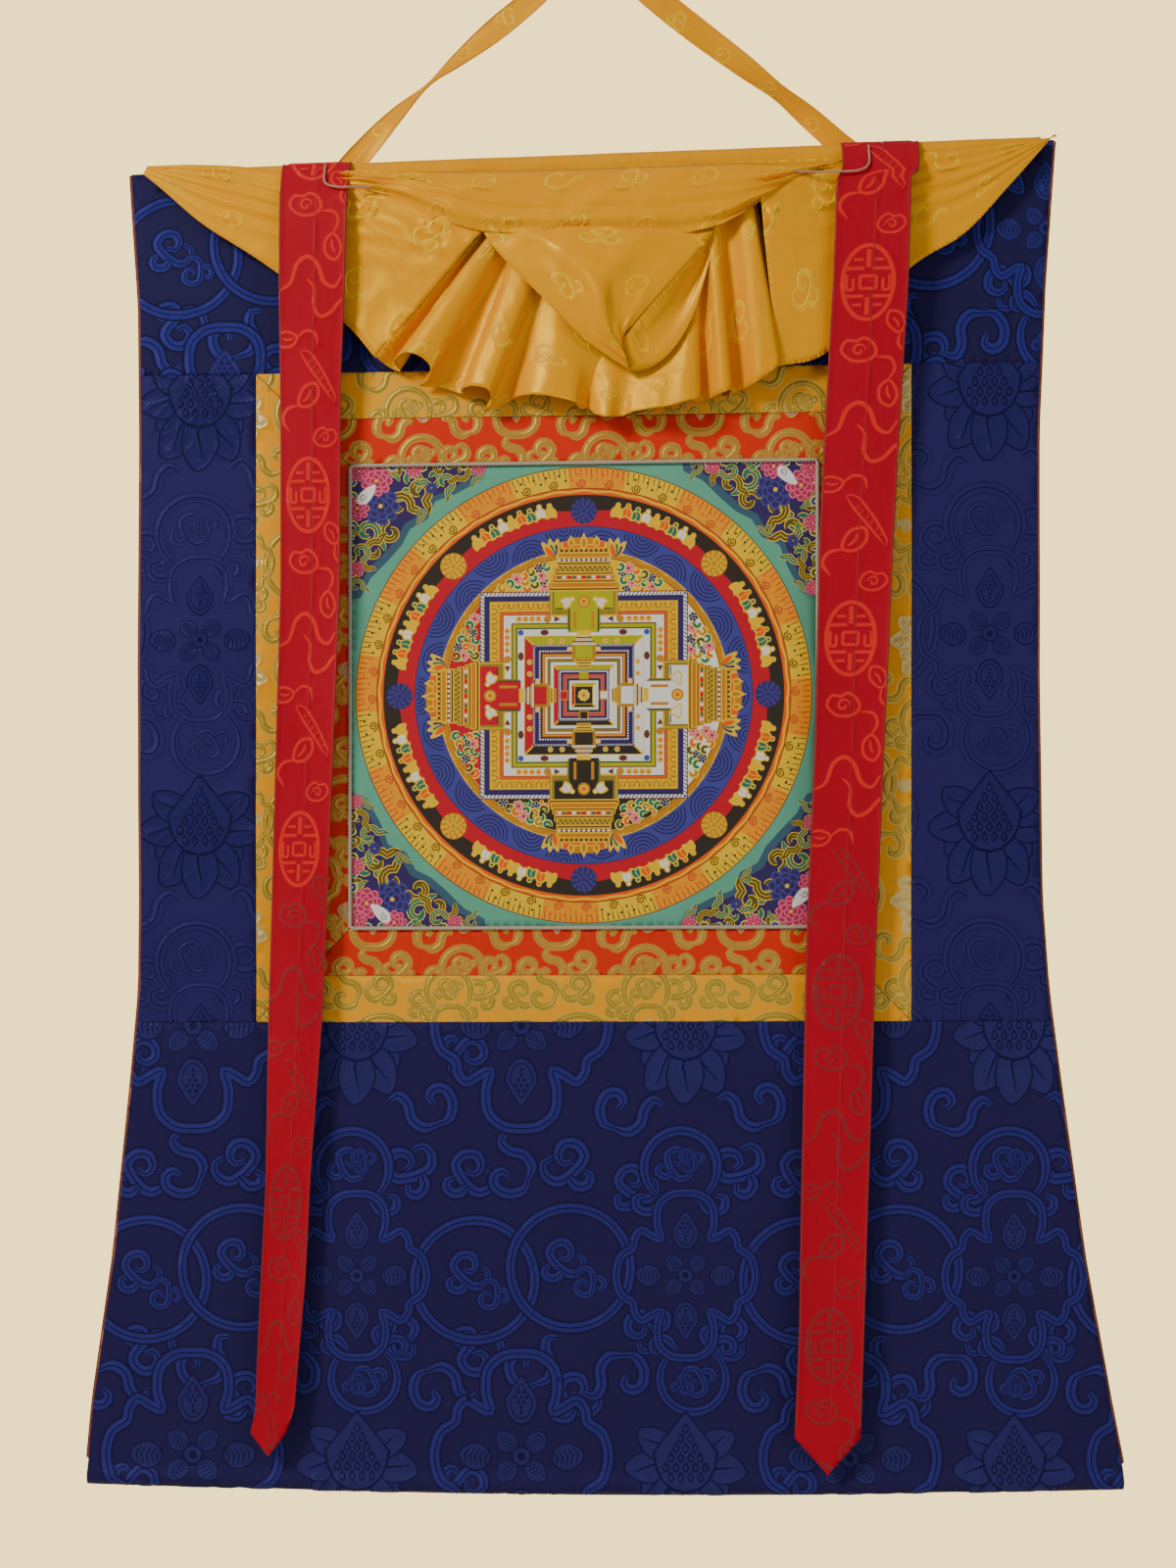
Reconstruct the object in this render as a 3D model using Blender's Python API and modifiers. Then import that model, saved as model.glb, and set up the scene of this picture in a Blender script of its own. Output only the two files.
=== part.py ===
"""A thangka scroll painting, hung from its strap, with the silk cover gathered up.

A square painting is pieced into red, gold and blue brocade over a lining. A yellow heading
wraps the top, the cover hangs from it, and two red ribbons loop over it. Metres, +Z up. The
face looks along -Y, and the origin is the bend of the strap, where a nail holds it."""

import math

import bmesh
import bpy
from mathutils import Vector

MM = 0.001

# Cloth thicknesses and the gap that sewn neighbours keep
SEAM_GAP = 0.3 * MM
BROCADE = 2.0 * MM
LINING = 1.0 * MM
SILK = 1.2 * MM
RIBBON = 1.6 * MM
STRAP = 1.2 * MM

# The painting and the two borders round it, as cut, before the cloth hangs out of square
PAINTING_WIDTH = 383 * MM
PAINTING_HEIGHT = 381 * MM
CENTRE_X = -9.0 * MM
CENTRE_Z = -611.5 * MM
RED_BORDER = 37.8 * MM
GOLD_BORDER = 38.2 * MM
CORD_DIAMETER = 3.0 * MM
CORD_INSET = 1.0 * MM

# The whole hanging
TOP_Z = -171.6 * MM
ROLL_Z = -1250.0 * MM
ROLL_RADIUS = 8.0 * MM
ROLL_DEPTH = 3.0 * MM
LINING_SHOWS = 2.6 * MM
LINING_BEHIND = 2.8 * MM

# The heading: a stiff strip wrapped in yellow silk
HEAD_HEIGHT = 24 * MM
HEAD_DEPTH = 15 * MM
HEAD_FRONT = -12 * MM
HEAD_LEFT = -361 * MM
HEAD_RIGHT = 366 * MM
HEAD_END_HEIGHT = 5 * MM
HEAD_TAPER = 0.9
HEAD_ROUND = 4.5 * MM
HEAD_CLEAR = 3.0 * MM
CORNER_DROP = 1.0 * MM

# How far the cloth is out of square: the rise to the right, for each metre across, by height
LEAN = (
    # height, rise
    (-171.6 * MM, 0.038),
    (-343.0 * MM, 0.016),
    (-611.0 * MM, 0.007),
    (-878.0 * MM, 0.002),
    (-1250.0 * MM, -0.006),
)

# The two side edges of the blue cloth
SIDES = (
    # height, left, right
    (-150 * MM, -379 * MM, 376 * MM),
    (-190 * MM, -377 * MM, 373 * MM),
    (-284 * MM, -371 * MM, 366 * MM),
    (-400 * MM, -370 * MM, 361 * MM),
    (-600 * MM, -371 * MM, 361 * MM),
    (-780 * MM, -370 * MM, 364 * MM),
    (-850 * MM, -371 * MM, 369 * MM),
    (-920 * MM, -377 * MM, 378 * MM),
    (-1070 * MM, -392 * MM, 399 * MM),
    (-1190 * MM, -409 * MM, 421 * MM),
    (-1256 * MM, -415 * MM, 434 * MM),
)

# The lower edge of the roll sags in the middle and lifts at the corners
ROLL_SAG = 7 * MM

# Soft ridges of the hung cloth: each a long low swell towards the front, or a trough
SWELLS = (
    # x, z, slope of its line in degrees, half length, half width, height
    (-300 * MM, -560 * MM, 12, 90 * MM, 48 * MM, 2.0 * MM),
    (-325 * MM, -700 * MM, -15, 80 * MM, 46 * MM, 2.2 * MM),
    (-310 * MM, -860 * MM, 8, 110 * MM, 50 * MM, -1.8 * MM),
    (310 * MM, -520 * MM, -18, 90 * MM, 52 * MM, 1.8 * MM),
    (320 * MM, -760 * MM, 14, 100 * MM, 50 * MM, -1.8 * MM),
    (-180 * MM, -1080 * MM, 78, 190 * MM, 60 * MM, 2.6 * MM),
    (60 * MM, -1040 * MM, 90, 170 * MM, 70 * MM, -1.8 * MM),
    (260 * MM, -1100 * MM, 100, 170 * MM, 55 * MM, 2.4 * MM),
    (-10 * MM, -620 * MM, 90, 240 * MM, 120 * MM, 1.6 * MM),
)
CALM_TOP = 70 * MM
CALM_BOTTOM = 60 * MM

# The cover: one cloth that falls from the heading, turns under along the fold line, goes up
# behind itself to the tuck line and falls again to the hem, which flares in pleats.
# across is the share of the cloth's width, from its left corner to its right one.
COVER_TOP = (
    # across, below the top edge
    (0.00, 2 * MM),
    (0.16, 8 * MM),
    (0.25, 20 * MM),
    (0.70, 24 * MM),
    (0.86, 14 * MM),
    (1.00, 2 * MM),
)
COVER_FOLD = (
    # across, x, z, how far the front layer bellies out
    (0.00, -358 * MM, -190 * MM, 0 * MM),
    (0.05, -330 * MM, -200 * MM, 2 * MM),
    (0.16, -254 * MM, -230 * MM, 3 * MM),
    (0.22, -200 * MM, -230 * MM, 4 * MM),
    (0.27, -158 * MM, -224 * MM, 9 * MM),
    (0.36, -95 * MM, -242 * MM, 13 * MM),
    (0.40, -74 * MM, -262 * MM, 15 * MM),
    (0.45, -38 * MM, -296 * MM, 16 * MM),
    (0.50, -6 * MM, -326 * MM, 16 * MM),
    (0.56, 28 * MM, -353 * MM, 16 * MM),
    (0.60, 50 * MM, -346 * MM, 16 * MM),
    (0.64, 68 * MM, -324 * MM, 15 * MM),
    (0.67, 79 * MM, -292 * MM, 15 * MM),
    (0.70, 96 * MM, -250 * MM, 13 * MM),
    (0.74, 134 * MM, -238 * MM, 9 * MM),
    (0.80, 190 * MM, -238 * MM, 4 * MM),
    (0.86, 254 * MM, -230 * MM, 3 * MM),
    (0.92, 304 * MM, -206 * MM, 2 * MM),
    (1.00, 366 * MM, -163 * MM, 0 * MM),
)
COVER_TUCK = (
    # across, x, z
    (0.00, -358 * MM, -188 * MM),
    (0.16, -252 * MM, -222 * MM),
    (0.22, -198 * MM, -219 * MM),
    (0.25, -140 * MM, -217 * MM),
    (0.27, -110 * MM, -222 * MM),
    (0.33, -90 * MM, -229 * MM),
    (0.40, -80 * MM, -236 * MM),
    (0.45, -64 * MM, -244 * MM),
    (0.56, 4 * MM, -250 * MM),
    (0.65, 70 * MM, -246 * MM),
    (0.70, 102 * MM, -233 * MM),
    (0.73, 117 * MM, -229 * MM),
    (0.78, 150 * MM, -228 * MM),
    (0.80, 186 * MM, -229 * MM),
    (0.86, 252 * MM, -222 * MM),
    (1.00, 366 * MM, -161 * MM),
)
COVER_HEM = (
    # across, x, z, how far a pleat stands out from the cloth behind
    (0.00, -358 * MM, -193 * MM, 6 * MM),
    (0.05, -332 * MM, -224 * MM, 6 * MM),
    (0.10, -296 * MM, -245 * MM, 5 * MM),
    (0.16, -254 * MM, -271 * MM, 4 * MM),
    (0.22, -200 * MM, -311 * MM, 4 * MM),
    (0.27, -178 * MM, -338 * MM, 11 * MM),
    (0.29, -166 * MM, -343 * MM, 2 * MM),
    (0.31, -158 * MM, -353 * MM, 9 * MM),
    (0.33, -146 * MM, -360 * MM, 13 * MM),
    (0.35, -134 * MM, -359 * MM, 9 * MM),
    (0.37, -122 * MM, -364 * MM, 2 * MM),
    (0.39, -108 * MM, -370 * MM, 9 * MM),
    (0.41, -95 * MM, -378 * MM, 13 * MM),
    (0.43, -82 * MM, -376 * MM, 9 * MM),
    (0.45, -74 * MM, -373 * MM, 2 * MM),
    (0.47, -62 * MM, -370 * MM, 10 * MM),
    (0.51, -22 * MM, -377 * MM, 12 * MM),
    (0.53, -12 * MM, -375 * MM, 3 * MM),
    (0.55, 0 * MM, -384 * MM, 12 * MM),
    (0.57, 18 * MM, -384 * MM, 11 * MM),
    (0.59, 28 * MM, -379 * MM, 2 * MM),
    (0.61, 38 * MM, -383 * MM, 11 * MM),
    (0.65, 80 * MM, -376 * MM, 12 * MM),
    (0.665, 86 * MM, -370 * MM, 3 * MM),
    (0.68, 95 * MM, -372 * MM, 11 * MM),
    (0.695, 108 * MM, -370 * MM, 11 * MM),
    (0.71, 114 * MM, -363 * MM, 3 * MM),
    (0.73, 124 * MM, -361 * MM, 11 * MM),
    (0.76, 150 * MM, -350 * MM, 8 * MM),
    (0.80, 190 * MM, -334 * MM, 5 * MM),
    (0.86, 254 * MM, -267 * MM, 4 * MM),
    (0.91, 299 * MM, -238 * MM, 5 * MM),
    (0.95, 331 * MM, -206 * MM, 6 * MM),
    (1.00, 366 * MM, -166 * MM, 6 * MM),
)
COVER_LEFT = -359 * MM
COVER_RIGHT = 367 * MM
COVER_FRONT = -15.5 * MM
COVER_FOLD_OUT = 18.5 * MM
COVER_FOLD_LEAST = 4.5 * MM
COVER_FOLD_TURN = 2.0 * MM
COVER_FULL_BELLY = 8 * MM
COVER_TUCK_FRONT = -18.0 * MM
COVER_TUCK_BACK = -13.5 * MM
COVER_HEM_BACK = -8.5 * MM
COVER_STATIONS = 50

# The ribbons: the height, the two edges and the depth of each, by section from the top down
RIBBON_FRONT = (
    # below the top edge, y
    (2 * MM, -15.4 * MM),
    (7 * MM, -18.8 * MM),
    (13 * MM, -21.6 * MM),
    (20 * MM, -25.5 * MM),
    (32 * MM, -30.0 * MM),
    (60 * MM, -31.0 * MM),
    (100 * MM, -29.0 * MM),
    (160 * MM, -24.0 * MM),
    (240 * MM, -20.0 * MM),
    (400 * MM, -18.0 * MM),
    (600 * MM, -17.0 * MM),
    (760 * MM, -18.0 * MM),
    (880 * MM, -16.0 * MM),
    (960 * MM, -18.0 * MM),
    (1010 * MM, -17.0 * MM),
)
RIBBON_LEFT = (
    # z, left edge, right edge
    (-181 * MM, -253 * MM, -198 * MM),
    (-285 * MM, -254 * MM, -201 * MM),
    (-364 * MM, -254 * MM, -205 * MM),
    (-524 * MM, -254 * MM, -206 * MM),
    (-868 * MM, -264 * MM, -220 * MM),
    (-1004 * MM, -266 * MM, -230 * MM),
    (-1084 * MM, -270 * MM, -234 * MM),
    (-1190 * MM, -274.5 * MM, -243 * MM),
    (-1209 * MM, -278.5 * MM, -250 * MM),
)
RIBBON_LEFT_TIP = 19 * MM
RIBBON_RIGHT = (
    # z, left edge, right edge
    (-164 * MM, 200 * MM, 262 * MM),
    (-191 * MM, 199 * MM, 261 * MM),
    (-196 * MM, 194 * MM, 254 * MM),
    (-284 * MM, 191 * MM, 252 * MM),
    (-364 * MM, 187 * MM, 248 * MM),
    (-492 * MM, 181 * MM, 241 * MM),
    (-652 * MM, 177.5 * MM, 234 * MM),
    (-804 * MM, 171 * MM, 228 * MM),
    (-1004 * MM, 167 * MM, 221.5 * MM),
    (-1124 * MM, 165 * MM, 217.5 * MM),
    (-1213 * MM, 161.5 * MM, 215 * MM),
)
RIBBON_RIGHT_TIP = 30 * MM
RIBBON_BACK = 4.2 * MM
RIBBON_TAIL = 42 * MM

# The hanging strap: its centre line from the left end over the nail to the right end
STRAP_PATH = (
    # x, y, z, width, turn of its face in degrees: 0 looks to the front, 90 lies on the nail
    (-214 * MM, 6.4 * MM, -202 * MM, 20 * MM, 0),
    (-203 * MM, 6.4 * MM, -182 * MM, 20 * MM, 0),
    (-186 * MM, 6.4 * MM, -162 * MM, 19 * MM, 8),
    (-160 * MM, 6.0 * MM, -134 * MM, 18 * MM, 40),
    (-136 * MM, 5.5 * MM, -112 * MM, 18 * MM, 68),
    (-112 * MM, 5.0 * MM, -92 * MM, 18 * MM, 40),
    (-80 * MM, 4.0 * MM, -66 * MM, 20 * MM, 10),
    (-50 * MM, 2.5 * MM, -42 * MM, 20 * MM, 18),
    (-28 * MM, 1.0 * MM, -23 * MM, 20 * MM, 45),
    (-12 * MM, 0.0 * MM, -8 * MM, 19 * MM, 72),
    (-4.5 * MM, 0.0 * MM, -1.4 * MM, 18 * MM, 86),
    (0 * MM, 0.0 * MM, 0.3 * MM, 18 * MM, 90),
    (4.5 * MM, 0.0 * MM, -1.4 * MM, 18 * MM, 94),
    (12 * MM, 0.0 * MM, -8 * MM, 19 * MM, 108),
    (26 * MM, 1.0 * MM, -21 * MM, 20 * MM, 140),
    (48 * MM, 2.5 * MM, -40 * MM, 21 * MM, 168),
    (80 * MM, 4.0 * MM, -65 * MM, 21 * MM, 174),
    (116 * MM, 5.0 * MM, -92 * MM, 19 * MM, 150),
    (150 * MM, 5.5 * MM, -118 * MM, 18 * MM, 118),
    (176 * MM, 6.0 * MM, -139 * MM, 18 * MM, 150),
    (196 * MM, 6.4 * MM, -156 * MM, 19 * MM, 176),
    (212 * MM, 6.4 * MM, -170 * MM, 20 * MM, 180),
    (222 * MM, 6.4 * MM, -186 * MM, 20 * MM, 180),
)

# The two tie cords, each stitched down its ribbon and drawn across into the cover's folds
TIE_DIAMETER = 1.8 * MM
TIE_LEFT = (
    (-218 * MM, -18.6 * MM, -184 * MM),
    (-218 * MM, -21.2 * MM, -189 * MM),
    (-218 * MM, -24.6 * MM, -195 * MM),
    (-217 * MM, -28.4 * MM, -200.5 * MM),
    (-213 * MM, -30.4 * MM, -203.5 * MM),
    (-206 * MM, -31.2 * MM, -205 * MM),
    (-197 * MM, -31.2 * MM, -205 * MM),
    (-188 * MM, -30.2 * MM, -205 * MM),
    (-181 * MM, -29.0 * MM, -205 * MM),
)
TIE_RIGHT = (
    (221 * MM, -19.0 * MM, -168 * MM),
    (221 * MM, -21.8 * MM, -174 * MM),
    (221 * MM, -25.0 * MM, -180 * MM),
    (220 * MM, -28.6 * MM, -185.5 * MM),
    (216 * MM, -31.4 * MM, -190 * MM),
    (208 * MM, -32.6 * MM, -192.5 * MM),
    (196 * MM, -33.0 * MM, -193 * MM),
    (182 * MM, -31.6 * MM, -193 * MM),
    (168 * MM, -30.4 * MM, -192.5 * MM),
    (156 * MM, -29.6 * MM, -191.5 * MM),
)

COLOURS = {
    # piece: red, green, blue, roughness, metallic
    "blue": (0.016, 0.020, 0.110, 0.55, 0.0),
    "gold": (0.780, 0.400, 0.030, 0.45, 0.1),
    "red": (0.640, 0.060, 0.025, 0.50, 0.0),
    "painting": (0.180, 0.360, 0.320, 0.70, 0.0),
    "piping": (0.520, 0.400, 0.380, 0.70, 0.0),
    "lining": (0.620, 0.250, 0.200, 0.85, 0.0),
    "yellow": (0.800, 0.480, 0.020, 0.35, 0.0),
    "ribbon": (0.480, 0.012, 0.025, 0.45, 0.0),
    "tie": (0.600, 0.380, 0.280, 0.70, 0.0),
}


def blend(table, at):
    """The row of a table at a value of its first column, by straight lines between rows."""
    rows = sorted(table)
    if at <= rows[0][0]:
        return rows[0][1:]
    for low, high in zip(rows, rows[1:]):
        if at <= high[0]:
            share = (at - low[0]) / (high[0] - low[0])
            return tuple(a + (b - a) * share for a, b in zip(low[1:], high[1:]))
    return rows[-1][1:]


def ease(share):
    share = min(max(share, 0.0), 1.0)
    return share * share * (3 - 2 * share)


def mix(a, b, share):
    return a + (b - a) * share


def swell(x, z):
    """How far the hung cloth stands back (+) or forward (-) of flat."""
    depth = 0.0
    for at_x, at_z, slope, half_length, half_width, height in SWELLS:
        angle = math.radians(slope)
        dx, dz = x - at_x, z - at_z
        along = dx * math.cos(angle) + dz * math.sin(angle)
        across = dz * math.cos(angle) - dx * math.sin(angle)
        depth -= height * math.exp(-((along / half_length) ** 2) - (across / half_width) ** 2)
    calm = ease((TOP_Z - HEAD_HEIGHT - z) / CALM_TOP) * ease((z - ROLL_Z) / CALM_BOTTOM)
    return depth * calm


def hung(x, z, behind=0.0):
    """A point of the flat cloth where it hangs, out of square and a little uneven."""
    (rise,) = blend(LEAN, z)
    return Vector((x, swell(x, z) + behind, z + rise * x))


def finish(name, mesh, colour, collection):
    material = bpy.data.materials.new(name)
    material.use_nodes = True
    red, green, blue, roughness, metallic = COLOURS[colour]
    shader = material.node_tree.nodes["Principled BSDF"]
    shader.inputs["Base Color"].default_value = (red, green, blue, 1.0)
    shader.inputs["Roughness"].default_value = roughness
    shader.inputs["Metallic"].default_value = metallic
    mesh.materials.append(material)
    piece = bpy.data.objects.new(name, mesh)
    collection.objects.link(piece)
    return piece


def sheet(name, colour, collection, place, columns, rows, thickness):
    """A grid whose corners go where place(u, v) says, thickened evenly to both sides."""
    grid = bmesh.new()
    bmesh.ops.create_grid(grid, x_segments=columns, y_segments=rows, size=0.5)
    for corner in grid.verts:
        corner.co = place(corner.co.x + 0.5, corner.co.y + 0.5)
    mesh = bpy.data.meshes.new(name)
    grid.to_mesh(mesh)
    grid.free()
    piece = finish(name, mesh, colour, collection)
    thicken = piece.modifiers.new("Thickness", "SOLIDIFY")
    thicken.thickness = thickness
    thicken.offset = 0.0
    return piece


def loft(name, colour, collection, sections):
    """A closed solid through unlike closed sections, each a ring of as many points."""
    body = bmesh.new()
    rings = [[body.verts.new(point) for point in section] for section in sections]
    for ring, following in zip(rings, rings[1:]):
        for i in range(len(ring)):
            j = (i + 1) % len(ring)
            body.faces.new((ring[i], ring[j], following[j], following[i]))
    body.faces.new(rings[0][::-1])
    body.faces.new(rings[-1])
    bmesh.ops.recalc_face_normals(body, faces=body.faces)
    mesh = bpy.data.meshes.new(name)
    body.to_mesh(mesh)
    body.free()
    return finish(name, mesh, colour, collection)


def tube(name, colour, collection, points, diameter, closed=False):
    """A plain cord along the points, with an end cap or joined into a ring."""
    curve = bpy.data.curves.new(name, "CURVE")
    curve.dimensions = "3D"
    curve.bevel_depth = diameter / 2
    curve.bevel_resolution = 2
    curve.use_fill_caps = True
    spline = curve.splines.new("POLY")
    spline.points.add(len(points) - 1)
    for end, point in zip(spline.points, points):
        end.co = (*point, 1.0)
    spline.use_cyclic_u = closed
    return finish(name, curve, colour, collection)


def smooth_route(points, spacing):
    """Points along a smooth curve through the route's own points."""
    route = [Vector(point) for point in points]
    route = [2 * route[0] - route[1], *route, 2 * route[-1] - route[-2]]
    out = []
    for before, start, end, after in zip(route, route[1:], route[2:], route[3:]):
        steps = max(1, round((end - start).length / spacing))
        for step in range(steps):
            t = step / steps
            out.append(
                0.5
                * (
                    2 * start
                    + (end - before) * t
                    + (2 * before - 5 * start + 4 * end - after) * t * t
                    + (3 * start - before - 3 * end + after) * t * t * t
                )
            )
    out.append(route[-2])
    return out


def head_height(x):
    """The heading narrows towards its two ends."""
    from_end = min(x - HEAD_LEFT, HEAD_RIGHT - x)
    return min(HEAD_HEIGHT, HEAD_END_HEIGHT + HEAD_TAPER * max(from_end, 0.0))


def cloth_top(x):
    """The top edge of the cloth: under the heading, but full height in the two corners."""
    if HEAD_LEFT < x < HEAD_RIGHT:
        return TOP_Z - HEAD_CLEAR - head_height(x)
    return TOP_Z - CORNER_DROP


def side_edge(z, right):
    return blend(SIDES, z)[1 if right else 0]


GOLD_HALF_WIDTH = PAINTING_WIDTH / 2 + RED_BORDER + GOLD_BORDER
GOLD_HALF_HEIGHT = PAINTING_HEIGHT / 2 + RED_BORDER + GOLD_BORDER
UPPER_SEAM = CENTRE_Z + GOLD_HALF_HEIGHT
LOWER_SEAM = CENTRE_Z - GOLD_HALF_HEIGHT


def border(name, colour, collection, half_width, half_height, band):
    """Four strips round the painting, mitred at the corners."""

    def strip(side, turned, sign):
        length = half_height if turned else half_width
        reach = half_width if turned else half_height

        def place(u, v):
            depth = mix(SEAM_GAP / 2, band - SEAM_GAP / 2, v)
            along = (2 * u - 1) * (length - depth - SEAM_GAP)
            out = sign * (reach - depth)
            x, z = (out, along) if turned else (along, out)
            return hung(CENTRE_X + x, CENTRE_Z + z)

        sheet(f"{name}_{side}", colour, collection, place, 14, 2, BROCADE)

    strip("top", False, 1)
    strip("bottom", False, -1)
    strip("left", True, -1)
    strip("right", True, 1)


def painting(collection):
    def place(u, v):
        x = (2 * u - 1) * (PAINTING_WIDTH - SEAM_GAP) / 2
        z = (2 * v - 1) * (PAINTING_HEIGHT - SEAM_GAP) / 2
        return hung(CENTRE_X + x, CENTRE_Z + z)

    sheet("painting", "painting", collection, place, 8, 8, BROCADE)


def painting_piping(collection):
    """A cord sewn on along the four edges of the painting."""
    half_x = PAINTING_WIDTH / 2 - CORD_INSET
    half_z = PAINTING_HEIGHT / 2 - CORD_INSET
    turn = 3 * MM
    ring = []
    for sign_x, sign_z, first in ((1, 1, 0), (-1, 1, 90), (-1, -1, 180), (1, -1, 270)):
        for step in (0, 30, 60, 90):
            angle = math.radians(first + step)
            x = sign_x * (half_x - turn) + turn * math.cos(angle)
            z = sign_z * (half_z - turn) + turn * math.sin(angle)
            ring.append((x, z))
    points = []
    runs = 6
    proud = -(BROCADE / 2 + SEAM_GAP + CORD_DIAMETER / 2)
    for number, (x, z) in enumerate(ring):
        next_x, next_z = ring[(number + 1) % len(ring)]
        pieces = runs if number % 4 == 3 else 1
        for step in range(pieces):
            share = step / pieces
            at = (CENTRE_X + mix(x, next_x, share), CENTRE_Z + mix(z, next_z, share))
            points.append(hung(*at, proud))
    tube("painting_piping", "piping", collection, points, CORD_DIAMETER, closed=True)


def blue_panels(collection):
    def top(u, v):
        lower = UPPER_SEAM + SEAM_GAP / 2
        column = mix(side_edge(TOP_Z, False), side_edge(TOP_Z, True), u)
        z = mix(lower, cloth_top(column), v)
        return hung(mix(side_edge(z, False), side_edge(z, True), u), z)

    def side(right):
        inner = CENTRE_X + (1 if right else -1) * (GOLD_HALF_WIDTH + SEAM_GAP / 2)

        def place(u, v):
            z = mix(LOWER_SEAM + SEAM_GAP / 2, UPPER_SEAM - SEAM_GAP / 2, v)
            edge = side_edge(z, right)
            left, far = (inner, edge) if right else (edge, inner)
            return hung(mix(left, far, u), z)

        return place

    sheet("blue_panel_top", "blue", collection, top, 32, 4, BROCADE)
    sheet("blue_panel_left", "blue", collection, side(False), 3, 14, BROCADE)
    sheet("blue_panel_right", "blue", collection, side(True), 3, 14, BROCADE)


def roll_centre(share):
    """The height of the roll's middle: it sags between its two corners."""
    return ROLL_Z - ROLL_SAG * (1 - (2 * share - 1) ** 2)


def blue_panel_bottom(collection):
    """The lower panel, with its hem rolled round the bottom rod."""
    columns, rows, around = 16, 6, 9
    sections = []
    for column in range(columns + 1):
        u = column / columns
        middle = roll_centre(u)
        top = LOWER_SEAM - SEAM_GAP / 2
        neck = middle + ROLL_RADIUS + 2 * MM
        front, back = [], []
        for row in range(rows + 1):
            z = mix(top, neck, row / rows)
            x = mix(side_edge(z, False), side_edge(z, True), u)
            front.append(hung(x, z, -BROCADE / 2))
            back.append(hung(x, z, BROCADE / 2))
        x = mix(side_edge(middle, False), side_edge(middle, True), u)
        ring = []
        for step in range(around):
            angle = math.radians(mix(150, 430, step / (around - 1)))
            y = ROLL_DEPTH + ROLL_RADIUS * math.cos(angle)
            ring.append(hung(x, middle + ROLL_RADIUS * math.sin(angle)) + Vector((0, y, 0)))
        sections.append([*front, *ring, *back[::-1]])
    loft("blue_panel_bottom", "blue", collection, sections)


def lining(collection):
    """The back cloth, which shows past both side edges."""

    def place(u, v):
        column = mix(side_edge(TOP_Z, False), side_edge(TOP_Z, True), u)
        bottom = roll_centre(u) + ROLL_RADIUS + 3 * MM
        z = mix(bottom, cloth_top(column), v)
        left = side_edge(z, False) - LINING_SHOWS
        right = side_edge(z, True) + LINING_SHOWS
        return hung(mix(left, right, u), z, LINING_BEHIND)

    sheet("lining", "lining", collection, place, 32, 12, LINING)


def heading(collection):
    """The stiff top strip wrapped in yellow silk, lower at its ends."""
    stations = 22
    sections = []
    for station in range(stations + 1):
        x = mix(HEAD_LEFT, HEAD_RIGHT, station / stations)
        height = head_height(x)
        corner = min(HEAD_ROUND, height * 0.42)
        ring = []
        for first, side_y, side_z in ((0, 1, 0), (90, 0, 0), (180, 0, 1), (270, 1, 1)):
            y = HEAD_FRONT + (HEAD_DEPTH - corner if side_y else corner)
            z = TOP_Z - (height - corner if side_z else corner)
            for step in (0, 45, 90):
                angle = math.radians(first + step)
                point = hung(x, z)
                point.y = y + corner * math.cos(angle)
                point.z += corner * math.sin(angle)
                ring.append(point)
        sections.append(ring)
    loft("heading", "yellow", collection, sections)


def cover_section(across):
    """One section of the cover, from the heading down, up behind itself and down to the hem."""
    (drop,) = blend(COVER_TOP, across)
    fold_x, fold_z, belly = blend(COVER_FOLD, across)
    tuck_x, tuck_z = blend(COVER_TUCK, across)
    hem_x, hem_z, stands = blend(COVER_HEM, across)
    start = hung(mix(COVER_LEFT, COVER_RIGHT, across), TOP_Z - drop)
    fold_y = COVER_FRONT - COVER_FOLD_OUT * ease(belly / COVER_FULL_BELLY)
    fold_y = min(fold_y, COVER_TUCK_FRONT - COVER_FOLD_LEAST)
    points = []
    for step in range(5):
        share = step / 5
        swell_out = belly * math.sin(math.pi * share) * 0.5
        y = mix(COVER_FRONT, fold_y, ease(share * 1.2)) - swell_out
        points.append(
            Vector((mix(start.x, fold_x, share), y, mix(start.z, fold_z, share)))
        )
    turn = COVER_FOLD_TURN
    points.append(Vector((fold_x, fold_y, fold_z + turn * 0.6)))
    points.append(Vector((fold_x, fold_y + turn, fold_z - turn * 0.6)))
    inner_y = fold_y + 2 * turn
    points.append(Vector((fold_x, inner_y, fold_z + turn)))
    for share in (0.5, 0.9):
        y = mix(inner_y, COVER_TUCK_FRONT, share)
        points.append(
            Vector((mix(fold_x, tuck_x, share), y, mix(fold_z + turn, tuck_z, share)))
        )
    middle_y = (COVER_TUCK_FRONT + COVER_TUCK_BACK) / 2
    points.append(Vector((tuck_x, middle_y, tuck_z + turn * 1.4)))
    for share in (0.06, 0.2, 0.4, 0.6, 0.8, 1.0):
        hem_y = COVER_HEM_BACK - stands
        y = mix(COVER_TUCK_BACK, hem_y, ease(share))
        points.append(
            Vector((mix(tuck_x, hem_x, share), y, mix(tuck_z, hem_z, share)))
        )
    return points


def cover(collection):
    sections = [cover_section(i / COVER_STATIONS) for i in range(COVER_STATIONS + 1)]
    rows = len(sections[0]) - 1

    def place(u, v):
        return sections[round(u * COVER_STATIONS)][round((1 - v) * rows)]

    sheet("cover_cloth", "yellow", collection, place, COVER_STATIONS, rows, SILK)


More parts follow.
